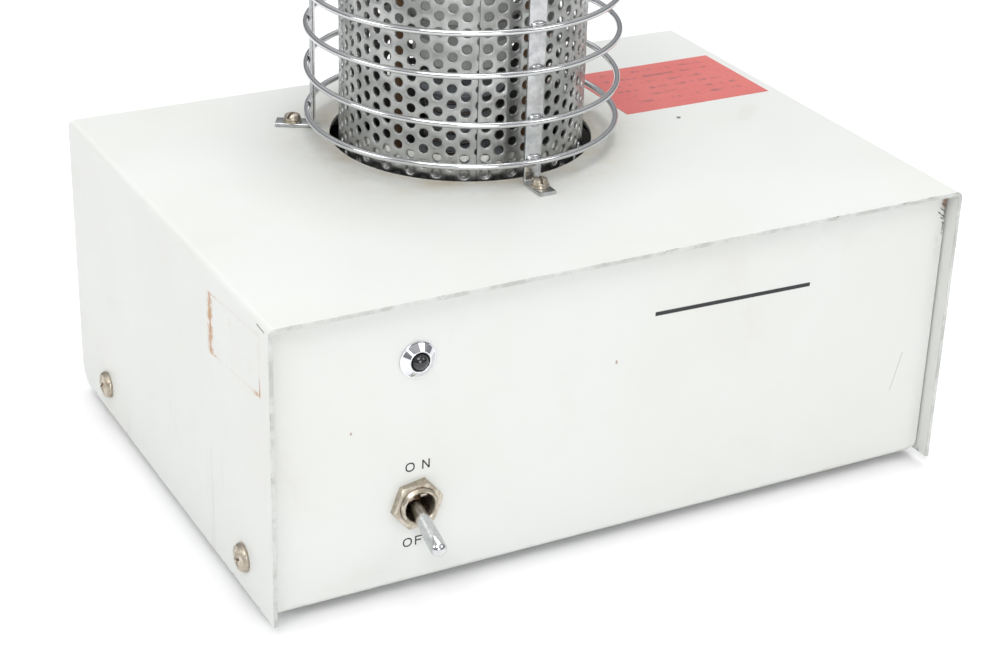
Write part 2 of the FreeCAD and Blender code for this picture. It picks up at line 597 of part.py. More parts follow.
def make_fan_motor():
    """Motor can on the frame's mount, bored for the bearings and the shaft."""
    bottom = FAN_BOTTOM + 3
    profile = [(0, bottom, 0), (MOTOR_R, bottom, 0.5), (MOTOR_R, MOTOR_TOP, 1.5), (0, MOTOR_TOP, 0)]
    can = revolve_about(profile, OUTLET, Z_AXIS)
    return cut(can, [cyl(SHAFT_R + 0.5, 20, OUTLET + V(0, 0, bottom + 2)),
                     cyl(4.5, 5, OUTLET + V(0, 0, bottom + 3)), cyl(4.5, 5, OUTLET + V(0, 0, MOTOR_TOP - 5))])


def make_fan_bearings():
    """Two plain bearings for the shaft."""
    bottom = FAN_BOTTOM + 3
    return Part.makeCompound([tube(4.5, SHAFT_R + 0.05, 5, OUTLET + V(0, 0, bottom + 3)),
                              tube(4.5, SHAFT_R + 0.05, 5, OUTLET + V(0, 0, MOTOR_TOP - 5))])


def make_fan_shaft():
    start = FAN_BOTTOM + 5.5
    return cyl(SHAFT_R, ROTOR_TOP - start, OUTLET + V(0, 0, start))


def make_fan_rotor():
    """Hub with five pitched blades."""
    height = ROTOR_TOP - ROTOR_BOTTOM
    middle = (ROTOR_TOP + ROTOR_BOTTOM) / 2
    blades = []
    for k in range(5):
        blade = box(HUB_R - 4, BLADE_TIP_R + 4, -11.5, 11.5, -0.9, 0.9)
        blade.rotate(V(0, 0, 0), X_AXIS, 32)
        blade.translate(V(0, 0, middle))
        blade.rotate(V(0, 0, 0), Z_AXIS, 72 * k)
        blades.append(blade)
    trimmed = fuse(blades).common(cyl(BLADE_TIP_R, height + 6, V(0, 0, ROTOR_BOTTOM - 3)))
    profile = [(0, ROTOR_BOTTOM, 0), (HUB_R, ROTOR_BOTTOM, 0), (HUB_R, ROTOR_TOP, 2.0), (0, ROTOR_TOP, 0)]
    hub = revolve_about(profile, V(0, 0, 0), Z_AXIS)
    rotor = fuse([hub, trimmed]).cut(cyl(SHAFT_R, height, V(0, 0, ROTOR_BOTTOM)))
    rotor.translate(OUTLET)
    return rotor


def make_fan_screws():
    """Long screws through the collar and the fan's corners into the pillars."""
    return Part.makeCompound(
        [screw(3.5, 2.2, M4_THREAD, TUBE_BOTTOM - FAN_BOTTOM + 9, V(x, y, TUBE_BOTTOM), Z_AXIS, "cross", 30)
         for x, y in FAN_CORNERS])


def make_fan_pillars():
    """Hexagon pillars from the chassis floor to the fan, threaded at both ends."""
    length = FAN_BOTTOM - PAN_FLOOR
    pillars = []
    for x, y in FAN_CORNERS:
        bar = hexagon(7.5, length, V(x, y, PAN_FLOOR), Z_AXIS, 15)
        pillars.append(bar.cut(cyl(2.0, length, V(x, y, PAN_FLOOR))))
    return Part.makeCompound(pillars)


def make_pillar_screws():
    """From below the chassis up into the pillars."""
    return Part.makeCompound(
        [screw(3.5, 2.0, M4_THREAD, 9, V(x, y, PAN_BOTTOM), V(0, 0, -1)) for x, y in FAN_CORNERS])


# ---------------------------------------------------------------- toggle switch
BUSHING_R, BUSHING_BORE, BALL_R = 5.95, 4.7, 2.9
SWITCH_AT = V(CONTROL_X, 0, SWITCH_Z)
MOUTH_Y = PANEL_Y - 3.6
BODY_Y = PANEL_Y + 10.5


def make_switch_bushing():
    """Threaded bushing through the panel with a plate that closes the switch's body."""
    at = SWITCH_AT + V(0, MOUTH_Y, 0)
    length = BODY_Y - MOUTH_Y
    profile = [(BUSHING_BORE, 0, 0.3), (BUSHING_R, 0, 0.5), (BUSHING_R, length, 0), (BUSHING_BORE, length, 0)]
    sleeve = revolve_about(profile, at, Y_AXIS)
    plate = box(CONTROL_X - 8.5, CONTROL_X + 8.5, BODY_Y - 1.2, BODY_Y, SWITCH_Z - 14, SWITCH_Z + 14)
    plate = plate.cut(cyl(BUSHING_BORE, 5, SWITCH_AT + V(0, BODY_Y - 3, 0), Y_AXIS))
    pin_hole = cyl(0.8, 20, PIVOT - V(10, 0, 0), X_AXIS)
    return fuse([sleeve, plate]).cut(pin_hole)


def make_switch_nut():
    return nut(14.3, 2.4, BUSHING_R + 0.05, SWITCH_AT + V(0, PANEL_Y, 0), V(0, -1, 0), 10)


def make_switch_back_nut():
    return nut(14.3, 2.4, BUSHING_R + 0.05, SWITCH_AT + V(0, PANEL_Y + SHEET, 0), Y_AXIS, 25)


def make_switch_pin():
    return cyl(0.8, 2 * BUSHING_R - 0.6, PIVOT - V(BUSHING_R - 0.3, 0, 0), X_AXIS)


def make_switch_lever():
    """Bat lever on a ball, with a tail behind it, pointing down in the OFF position."""
    neck_r, tail_r, tail_l = 1.75, 1.4, 6.0
    tip = LEVER_LENGTH
    bat = revolve_about([(0, 2.0, 0), (neck_r, 2.0, 0), (neck_r, 4.6, 0), (LEVER_TIP_R, tip - 1.5, 0),
                         (LEVER_TIP_R, tip + LEVER_TIP_R, LEVER_TIP_R * 0.98), (0, tip + LEVER_TIP_R, 0)],
                        V(0, 0, 0), Z_AXIS)
    tail = revolve_about([(0, -1, 0), (0, -tail_l, 0), (tail_r, -tail_l, 0.6), (tail_r, -1, 0)],
                         V(0, 0, 0), Z_AXIS)
    lever = fuse([Part.makeSphere(BALL_R), bat, tail])
    outward = V(0, -math.cos(math.radians(LEVER_ANGLE)), -math.sin(math.radians(LEVER_ANGLE)))
    lever.Placement = FreeCAD.Placement(PIVOT, FreeCAD.Rotation(Z_AXIS, outward))
    return lever.cut(cyl(0.85, 20, PIVOT - V(10, 0, 0), X_AXIS))


def make_switch_body():
    """Moulded body behind the plate, hollow where the lever's tail swings."""
    depth = 18.0
    body = box(CONTROL_X - 8.2, CONTROL_X + 8.2, BODY_Y, BODY_Y + depth, SWITCH_Z - 13.7, SWITCH_Z + 13.7)
    hollow = box(CONTROL_X - 4, CONTROL_X + 4, BODY_Y, BODY_Y + depth - 3, SWITCH_Z - 9, SWITCH_Z + 9)
    return body.cut(hollow)


def make_switch_terminals():
    """Two solder tags out of the body's back."""
    y = BODY_Y + 18.0
    tags = []
    for dz in (-7.0, 7.0):
        tag = box(CONTROL_X - 2.4, CONTROL_X + 2.4, y, y + 7, SWITCH_Z + dz - 0.4, SWITCH_Z + dz + 0.4)
        tags.append(tag.cut(cyl(0.9, 4, V(CONTROL_X, y + 5, SWITCH_Z + dz - 2))))
    return Part.makeCompound(tags)


# ---------------------------------------------------------------- pilot lamp
LAMP_AT = V(CONTROL_X, 0, LAMP_Z)


def make_lamp_bezel():
    """Chromed cone with a thin rim on the panel."""
    bezel = [(3.3, 0, 0), (6.0, 0, 0), (6.0, 0.5, 0.2), (3.6, 2.2, 0.25), (3.0, 2.2, 0.1), (3.0, 1.0, 0),
             (3.3, 1.0, 0)]
    return revolve_about(bezel, LAMP_AT + V(0, PANEL_Y, 0), V(0, -1, 0))


def make_lamp_lens():
    """Domed lens that fills the bezel's mouth."""
    lens = [(0, 1.0, 0), (2.95, 1.0, 0), (2.95, 3.9, 2.4), (0, 3.9, 0)]
    return revolve_about(lens, LAMP_AT + V(0, PANEL_Y, 0), V(0, -1, 0))


def make_lamp_holder():
    """Sleeve through the panel that holds the neon lamp, with two tags."""
    profile = [(0, -1.0, 0), (3.25, -1.0, 0), (3.25, 1.0, 0), (4.0, 1.0, 0), (4.0, 24, 0.6), (0, 24, 0)]
    sleeve = revolve_about(profile, LAMP_AT + V(0, PANEL_Y, 0), Y_AXIS)
    y = PANEL_Y + 24
    tags = [box(CONTROL_X + s * 2 - 0.9, CONTROL_X + s * 2 + 0.9, y - 1, y + 5, LAMP_Z - 0.3, LAMP_Z + 0.3)
            for s in (-1, 1)]
    return fuse([sleeve] + tags)


def make_lamp_nut():
    return nut(11.0, 2.2, 4.05, LAMP_AT + V(0, PANEL_Y + SHEET, 0), Y_AXIS)


# ---------------------------------------------------------------- back panel
def spigot_screw_places():
    corners = [polar(SPIGOT_SCREW_RING, 45 + 90 * k) for k in range(4)]
    return [(SPIGOT_X + p.x, SPIGOT_Z + p.y) for p in corners]


def make_hose_spigot():
    """Round spigot for the air hose, with a flange screwed to the back panel."""
    inner, flange_t, length = SPIGOT_R - SPIGOT_WALL, 2.0, SPIGOT_REACH + BACK_RECESS
    profile = [(inner, 0, 0), (SPIGOT_FLANGE_R, 0, 0), (SPIGOT_FLANGE_R, flange_t, 0.6),
               (SPIGOT_R, flange_t, 0), (SPIGOT_R, length, 0.5), (inner, length, 0.5)]
    body = revolve_about(profile, V(SPIGOT_X, BACK_Y, SPIGOT_Z), Y_AXIS)
    return cut(body, [cyl(M3_HOLE, 6, V(x, BACK_Y - 2, z), Y_AXIS) for x, z in spigot_screw_places()])


def make_spigot_screws():
    return Part.makeCompound(
        [screw(2.8, 1.9, 1.5, 7, V(x, BACK_Y + 2.0, z), Y_AXIS, "cross", 15 * k)
         for k, (x, z) in enumerate(spigot_screw_places())])


INLET_DEPTH, INLET_FLANGE = 16.0, 3.0


def make_mains_inlet():
    """Three-pin mains inlet: an oval flange, and a box behind the panel with the plug's cavity."""
    y0, y1 = BACK_Y - INLET_DEPTH, BACK_Y + INLET_FLANGE
    flange_half_w, flange_half_h, flange_corner = 25.0, 11.5, 5.0
    flange_points = [V(INLET_X + sx * flange_half_w, BACK_Y, INLET_Z + sz * flange_half_h)
                     for sx, sz in ((-1, -1), (1, -1), (1, 1), (-1, 1))]
    flange = prism(flange_points, [flange_corner] * 4, V(0, INLET_FLANGE, 0))
    shell = box(INLET_X - 13.4, INLET_X + 13.4, y0, BACK_Y, INLET_Z - 9.9, INLET_Z + 9.9)
    half_w, half_h, chamfer = 12.2, 8.1, 4.0
    cavity_points = [V(INLET_X + x, y0 + 2, INLET_Z + z) for x, z in
                     ((-half_w, -half_h), (half_w, -half_h), (half_w, half_h - chamfer),
                      (half_w - chamfer, half_h), (-half_w + chamfer, half_h), (-half_w, half_h - chamfer))]
    cavity = prism(cavity_points, [1.0] * 6, V(0, y1 - y0, 0))
    tools = [cavity]
    tools += [box(x - 1.0, x + 1.0, y0 - 1, y0 + 3, z - 2.0, z + 2.0) for x, z in inlet_pin_places()]
    tools += [cyl(M3_HOLE, 8, V(INLET_X + s * INLET_SCREW_X, BACK_Y - 2, INLET_Z), Y_AXIS) for s in (-1, 1)]
    return cut(fuse([flange, shell]), tools)


def inlet_pin_places():
    return [(INLET_X - 7.0, INLET_Z - 2.0), (INLET_X + 7.0, INLET_Z - 2.0), (INLET_X, INLET_Z + 2.0)]


def make_inlet_pins():
    """Three flat pins that stand in the cavity, with tags behind."""
    back = BACK_Y - INLET_DEPTH
    return Part.makeCompound(
        [box(x - 1.0, x + 1.0, back - 7, back + 15, z - 2.0, z + 2.0) for x, z in inlet_pin_places()])


def make_inlet_screws():
    places = [V(INLET_X + s * INLET_SCREW_X, BACK_Y + INLET_FLANGE, INLET_Z) for s in (-1, 1)]
    return Part.makeCompound([screw(2.7, 1.8, 1.5, 8, at, Y_AXIS, "cross", 25) for at in places])


FUSE_AT = V(FUSE_X, BACK_Y, FUSE_Z)


def make_fuse_holder():
    """Round holder through the back panel, open at the back for the cap."""
    profile = [(0, -34, 0), (5.0, -34, 0.8), (5.0, -12, 0), (6.0, -12, 0), (6.0, 0, 0), (7.6, 0, 0),
               (7.6, 1.8, 0.4), (4.9, 1.8, 0), (4.9, -10, 0), (3.2, -10, 0), (3.2, -30, 0), (0, -30, 0)]
    body = revolve_about(profile, FUSE_AT, Y_AXIS)
    tags = [box(FUSE_X - 2.2, FUSE_X + 2.2, BACK_Y - 40, BACK_Y - 33.5, FUSE_Z - 0.4, FUSE_Z + 0.4)]
    return fuse([body] + tags)


def make_fuse_nut():
    return nut(14.0, 2.4, 6.05, FUSE_AT - V(0, SHEET, 0), V(0, -1, 0))


def make_fuse_cap():
    """Bayonet cap with a coin slot and a fluted grip."""
    flute_r, flute_ring, flutes_start, flute_count = 0.7, 6.5, 2.6, 12
    profile = [(0, -8, 0), (4.8, -8, 0), (4.8, 2.1, 0), (6.3, 2.1, 0), (6.0, 7.5, 0.8), (0, 7.5, 0)]
    cap = revolve_about(profile, FUSE_AT, Y_AXIS)
    corners = [polar(flute_ring, 360 / flute_count * k) for k in range(flute_count)]
    flutes = [cyl(flute_r, 8, FUSE_AT + V(p.x, flutes_start, p.y), Y_AXIS) for p in corners]
    slot = box(FUSE_X - 7, FUSE_X + 7, BACK_Y + 5.7, BACK_Y + 8, FUSE_Z - 0.6, FUSE_Z + 0.6)
    bore = cyl(2.7, 6, FUSE_AT - V(0, 9, 0), Y_AXIS)
    return cut(cap, flutes + [slot, bore])


def make_fuse():
    """Glass cartridge fuse, 5 by 20, held in the cap."""
    return cyl(2.6, 20, FUSE_AT - V(0, 24, 0), Y_AXIS)


# ---------------------------------------------------------------- wiring
BLOCK_X, BLOCK_Y, BLOCK_WAYS, WAY = 58.0, Y_FRONT + 30.0, 4, 10.0


def block_screw_places():
    columns = [BLOCK_X + (k - (BLOCK_WAYS - 1) / 2) * WAY for k in range(BLOCK_WAYS)]
    return [(x, BLOCK_Y + s * 5.0) for x in columns for s in (-1, 1)]


def make_terminal_block():
    """Ceramic connector strip on the chassis floor."""
    half = BLOCK_WAYS * WAY / 2
    block = box(BLOCK_X - half, BLOCK_X + half, BLOCK_Y - 9, BLOCK_Y + 9, PAN_FLOOR, PAN_FLOOR + 13)
    notches = [box(BLOCK_X - half + WAY * k - 0.8, BLOCK_X - half + WAY * k + 0.8, BLOCK_Y - 10, BLOCK_Y + 10,
                   PAN_FLOOR + 9, PAN_FLOOR + 14) for k in range(1, BLOCK_WAYS)]
    wells = [cyl(2.4, 6, V(x, y, PAN_FLOOR + 8)) for x, y in block_screw_places()]
    ports = [cyl(1.6, 30, V(x, BLOCK_Y - 15, PAN_FLOOR + 5), Y_AXIS) for x, _ in block_screw_places()[::2]]
    return cut(block, notches + wells + ports)


def make_terminal_screws():
    return Part.makeCompound([screw(2.2, 1.4, 1.2, 1.5, V(x, y, PAN_FLOOR + 10), Z_AXIS, "slot", 20)
                              for x, y in block_screw_places()])


def make_wiring():
    """Insulated leads between the inlet, the switch, the lamp, the terminal block and the cut-out."""
    radius, bend = 1.1, 4.0
    ways = [x for x, _ in block_screw_places()[::2]]
    port_y, floor_z = BLOCK_Y + 9.5, PAN_FLOOR + 5
    switch_y, lamp_y = BODY_Y + 25.5, PANEL_Y + 29.5
    inlet_y, inlet_z = BACK_Y - INLET_DEPTH - 7.5, inlet_pin_places()[0][1]
    inlet_x = inlet_pin_places()[0][0]
    lanes = [Y_FRONT + y for y in (46.0, 53.0, 60.0)]
    switch_low, switch_high = SWITCH_Z - 7, SWITCH_Z + 7
    lamp_left, lamp_right = CONTROL_X - 2, CONTROL_X + 2
    cutout = V(THERMAL_AT.x + 3, THERMAL_AT.y - 11.5, THERMAL_AT.z + 2.4)
    runs = [
        [V(CONTROL_X, switch_y, switch_low), V(CONTROL_X, lanes[0], switch_low),
         V(CONTROL_X, lanes[0], floor_z), V(ways[0], lanes[0], floor_z), V(ways[0], port_y, floor_z)],
        [V(inlet_x, inlet_y, inlet_z), V(inlet_x, inlet_y - 9, inlet_z), V(inlet_x, inlet_y - 9, floor_z),
         V(inlet_x, lanes[1], floor_z), V(ways[1], lanes[1], floor_z), V(ways[1], port_y, floor_z)],
        [V(lamp_right, lamp_y, LAMP_Z), V(lamp_right, lanes[2], LAMP_Z), V(lamp_right, lanes[2], floor_z),
         V(ways[2], lanes[2], floor_z), V(ways[2], port_y, floor_z)],
        [V(lamp_left, lamp_y, LAMP_Z), V(lamp_left, lanes[0], LAMP_Z), V(lamp_left, lanes[0], switch_high),
         V(lamp_left, switch_y, switch_high)],
        [V(ways[3], port_y, floor_z), V(ways[3], lanes[0], floor_z), V(ways[3], lanes[0], cutout.z),
         V(cutout.x, lanes[0], cutout.z), cutout],
    ]
    return Part.makeCompound([lead(points, radius, bend) for points in runs])


PIECES = [
    make_cover, make_chassis, make_clinch_nuts, make_cover_screws, make_rubber_feet, make_foot_screws,
    make_foot_nuts, make_red_label, make_perforated_cylinder, make_cylinder_cap, make_outlet_collar,
    make_ceramic_posts, make_post_screws, make_cap_screws, make_catalyst_canister, make_catalyst_core,
    make_canister_bands, make_heater_former, make_heater_coil, make_heater_bolt, make_heater_nut,
    make_thermal_cutout, make_guard_rings, make_guard_straps, make_guard_top, make_guard_screws,
    make_guard_washers, make_guard_nuts, make_fan_frame, make_fan_motor, make_fan_bearings,
    make_fan_shaft, make_fan_rotor, make_fan_screws, make_fan_pillars, make_pillar_screws,
    make_switch_bushing, make_switch_nut, make_switch_back_nut, make_switch_pin, make_switch_lever,
    make_switch_body, make_switch_terminals, make_lamp_bezel, make_lamp_lens, make_lamp_holder,
    make_lamp_nut, make_hose_spigot, make_spigot_screws, make_mains_inlet, make_inlet_pins,
    make_inlet_screws, make_fuse_holder, make_fuse_nut, make_fuse_cap, make_fuse, make_terminal_block,
    make_terminal_screws, make_wiring,
]

os.makedirs("parts", exist_ok=True)
for make in PIECES:
    write(make.__name__.replace("make_", ""), make())
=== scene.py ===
import math

import bmesh
import bpy
from mathutils import Matrix, Vector, noise


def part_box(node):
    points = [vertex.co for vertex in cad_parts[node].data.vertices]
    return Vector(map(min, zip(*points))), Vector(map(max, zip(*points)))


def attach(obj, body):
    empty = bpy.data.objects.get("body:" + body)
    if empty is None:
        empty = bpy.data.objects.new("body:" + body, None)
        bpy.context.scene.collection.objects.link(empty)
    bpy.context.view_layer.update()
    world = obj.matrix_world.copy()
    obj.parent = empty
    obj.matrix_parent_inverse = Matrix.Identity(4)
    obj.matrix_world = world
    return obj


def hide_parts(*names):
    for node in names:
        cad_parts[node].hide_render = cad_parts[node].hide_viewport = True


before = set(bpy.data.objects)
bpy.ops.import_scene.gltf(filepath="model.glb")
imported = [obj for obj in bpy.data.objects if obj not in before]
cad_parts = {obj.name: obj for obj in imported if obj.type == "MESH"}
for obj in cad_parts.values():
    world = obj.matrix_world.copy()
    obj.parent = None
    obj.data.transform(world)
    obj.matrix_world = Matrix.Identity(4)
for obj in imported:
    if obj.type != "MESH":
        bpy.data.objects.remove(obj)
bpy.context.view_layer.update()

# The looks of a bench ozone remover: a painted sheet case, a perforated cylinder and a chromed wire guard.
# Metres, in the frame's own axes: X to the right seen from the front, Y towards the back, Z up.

MM = 0.001
X_AXIS, Y_AXIS, Z_AXIS = Vector((1, 0, 0)), Vector((0, 1, 0)), Vector((0, 0, 1))

# ---------------------------------------------------------------- places, all from the frame
COVER_LO, COVER_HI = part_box("cover")
TOP, FRONT = COVER_HI.z, COVER_LO.y
LEFT, RIGHT = COVER_LO.x, COVER_HI.x
MIDDLE, HALF_WIDTH = (LEFT + RIGHT) / 2, (RIGHT - LEFT) / 2
CHASSIS_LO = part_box("chassis")[0]
PANEL = CHASSIS_LO.y
RINGS_LO, RINGS_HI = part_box("guard_rings")
AXIS = Vector(((RINGS_LO.x + RINGS_HI.x) / 2, (RINGS_LO.y + RINGS_HI.y) / 2, 0))
TUBE_LO, TUBE_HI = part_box("perforated_cylinder")
NUT_LO, NUT_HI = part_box("switch_nut")
LEVER_PIN_LO, LEVER_PIN_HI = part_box("switch_pin")
PIVOT = (LEVER_PIN_LO + LEVER_PIN_HI) / 2
LAMP_LO, LAMP_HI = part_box("lamp_bezel")
LAMP = Vector(((LAMP_LO.x + LAMP_HI.x) / 2, PANEL, (LAMP_LO.z + LAMP_HI.z) / 2))
LABEL_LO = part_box("red_label")[0]
UPRIGHT = Matrix.Rotation(math.radians(90), 4, "X")

# the guard and the cylinder: ring heights, and how far out each strip's screw and foot reach from the axis
WIRE_R = 1.0 * MM
RING_R = (RINGS_HI.x - RINGS_LO.x) / 2 - WIRE_R
RING_HEIGHTS = [TOP + h * MM for h in (7.8, 22.2, 37.3, 50.7, 66.0, 81.2, 97.0)]
LEANING_RING, RING_LEAN, LEAN_TOWARDS = 1, 1.5, -59.0
STRAP_ANGLES = (-90.0, 30.0, 150.0)
STRAP_SCREW_R = [r * MM for r in (53.7, 54.5, 55.3)]
STRAP_FOOT_R = [r * MM for r in (59.3, 60.0, 60.7)]
TUBE_R, TUBE_WALL = 40.0 * MM, 0.8 * MM


# ---------------------------------------------------------------- mesh helpers
def polar(radius, degrees, z=0.0):
    a = math.radians(degrees)
    return Vector((radius * math.cos(a), radius * math.sin(a), z))


def turned(at, axis, turn=0.0):
    """The matrix that takes +Z at the origin to axis at a place, after a turn in degrees about +Z."""
    aim = axis.to_track_quat("Z", "Y").to_matrix().to_4x4()
    return Matrix.Translation(at) @ aim @ Matrix.Rotation(math.radians(turn), 4, "Z")


def arc(radius, degrees, height=0.0, rise=None):
    """The points of an arc about (0, height), one for each angle, with its own radius upwards if need be."""
    rise = radius if rise is None else rise
    angles = [math.radians(a) for a in degrees]
    return [Vector((radius * math.cos(a), height + rise * math.sin(a))) for a in angles]


def circle(radius, count):
    """A round section for a wire."""
    turns = [2 * math.pi * k / count for k in range(count)]
    return [(radius * math.cos(a), radius * math.sin(a)) for a in turns]


def rounded(points, steps=4):
    """A 2-D outline from (x, y, corner radius) points, each corner as an arc. The ends stay as they are."""
    path = []
    last = len(points) - 1
    for i, (x, y, radius) in enumerate(points):
        corner = Vector((x, y))
        if i in (0, last) or radius <= 0:
            path.append(corner)
            continue
        before = Vector(points[i - 1][:2]) - corner
        after = Vector(points[i + 1][:2]) - corner
        half = before.angle(after) / 2
        inwards = (before.normalized() + after.normalized()).normalized()
        centre = corner + inwards * (radius / math.sin(half))
        setback = radius / math.tan(half)
        start = corner + before.normalized() * setback - centre
        end = corner + after.normalized() * setback - centre
        sweep = start.angle_signed(end)
        for k in range(steps + 1):
            turn = -sweep * k / steps
            path.append(centre + Matrix.Rotation(turn, 2) @ start)
    return path


def mesh_of(bm, name, sharp=35.0):
    """Turns a bmesh into a mesh with smooth faces, split at edges sharper than the angle."""
    bmesh.ops.remove_doubles(bm, verts=bm.verts, dist=0.002 * MM)
    bmesh.ops.recalc_face_normals(bm, faces=bm.faces)
    mesh = bpy.data.meshes.new(name)
    bm.to_mesh(mesh)
    bm.free()
    mesh.shade_smooth()
    mesh.set_sharp_from_angle(angle=math.radians(sharp))
    return mesh


def lathe(bm, profile, matrix, segments=48):
    """Adds a turned shape: a profile of (radius, height) carried round Z, then placed by the matrix."""
    rings = []
    for r, h in profile:
        if r < 0.001 * MM:
            rings.append([bm.verts.new(matrix @ Vector((0, 0, h)))])
        else:
            rings.append([bm.verts.new(matrix @ polar(r, 360 * k / segments, h)) for k in range(segments)])
    for a, b in zip(rings, rings[1:]):
        for k in range(segments):
            n = (k + 1) % segments
            corners = [a[k % len(a)], a[n % len(a)], b[n % len(b)], b[k % len(b)]]
            unique = list(dict.fromkeys(corners))
            if len(unique) > 2:
                bm.faces.new(unique)


def sweep(bm, path, section, frames, closed=False):
    """Adds a tube: the section's (across, out) points carried along the path by (across, out) frames."""
    loops = []
    for point, (across, out) in zip(path, frames):
        loops.append([bm.verts.new(point + across * u + out * v) for u, v in section])
    pairs = list(zip(loops, loops[1:]))
    if closed:
        pairs.append((loops[-1], loops[0]))
    for a, b in pairs:
        for k in range(len(section)):
            n = (k + 1) % len(section)
            bm.faces.new([a[k], a[n], b[n], b[k]])
    if not closed:
        bm.faces.new(loops[0][::-1])
        bm.faces.new(loops[-1])


def prism(bm, outline, depth, matrix, taper=1.0):
    """Adds a closed prism: a flat outline in XY, extruded along +Z, its lower end scaled by the taper."""
    low = [bm.verts.new(matrix @ Vector((x * taper, y * taper, 0))) for x, y in outline]
    high = [bm.verts.new(matrix @ Vector((x, y, depth))) for x, y in outline]
    bm.faces.new(low[::-1])
    bm.faces.new(high)
    for k in range(len(outline)):
        n = (k + 1) % len(outline)
        bm.faces.new([low[k], low[n], high[n], high[k]])


def evaluated(obj):
    """The object's mesh with its modifiers applied. The object is removed."""
    graph = bpy.context.evaluated_depsgraph_get()
    mesh = bpy.data.meshes.new_from_object(obj.evaluated_get(graph), depsgraph=graph)
    bpy.data.objects.remove(obj)
    return mesh


def linked(name, data):
    """A new object in the scene."""
    obj = bpy.data.objects.new(name, data)
    bpy.context.scene.collection.objects.link(obj)
    return obj


def carved(mesh, cutter):
    """The mesh with the cutter mesh taken away from it."""
    target, tool = linked("work", mesh), linked("tool", cutter)
    step = target.modifiers.new("cut", "BOOLEAN")
    step.operation, step.solver, step.object = "DIFFERENCE", "EXACT", tool
    bpy.context.view_layer.update()
    result = evaluated(target)
    bpy.data.objects.remove(tool)
    return result


def softened(source, width, segments=2, angle=30.0):
    """The mesh with every edge sharper than the angle rounded over, and its flat faces kept flat."""
    bm = bmesh.new()
    bm.from_mesh(source)
    bmesh.ops.remove_doubles(bm, verts=bm.verts, dist=0.002 * MM)
    bmesh.ops.dissolve_limit(bm, angle_limit=math.radians(0.6), verts=bm.verts, edges=bm.edges)
    obj = linked("work", mesh_of(bm, "soft", 180.0))
    bevel = obj.modifiers.new("bevel", "BEVEL")
    bevel.width, bevel.segments, bevel.limit_method = width, segments, "ANGLE"
    bevel.angle_limit = math.radians(angle)
    normals = obj.modifiers.new("normals", "WEIGHTED_NORMAL")
    normals.keep_sharp, normals.weight = True, 80
    bpy.context.view_layer.update()
    return evaluated(obj)


def copies(mesh, matrices, name):
    """One mesh that holds the given mesh once at each matrix."""
    bm = bmesh.new()
    for matrix in matrices:
        part = mesh.copy()
        part.transform(matrix)
        bm.from_mesh(part)
        bpy.data.meshes.remove(part)
    joined = bpy.data.meshes.new(name)
    bm.to_mesh(joined)
    bm.free()
    joined.shade_smooth()
    joined.set_sharp_from_angle(angle=math.radians(30))
    return joined


def show(name, mesh, body, material, slot, *nodes):
    """Puts a finished mesh in the scene as a piece that rides on a body and may stand for CAD nodes."""
    mesh.name = name
    mesh.materials.clear()
    mesh.materials.append(material)
    obj = linked(name, mesh)
    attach(obj, body)
    if nodes:
        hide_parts(*nodes)
    return obj


def dress(material, *nodes):
    """Gives CAD nodes that stay as they are a material."""
    for node in nodes:
        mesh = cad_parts[node].data
        mesh.materials.clear()
        mesh.materials.append(material)


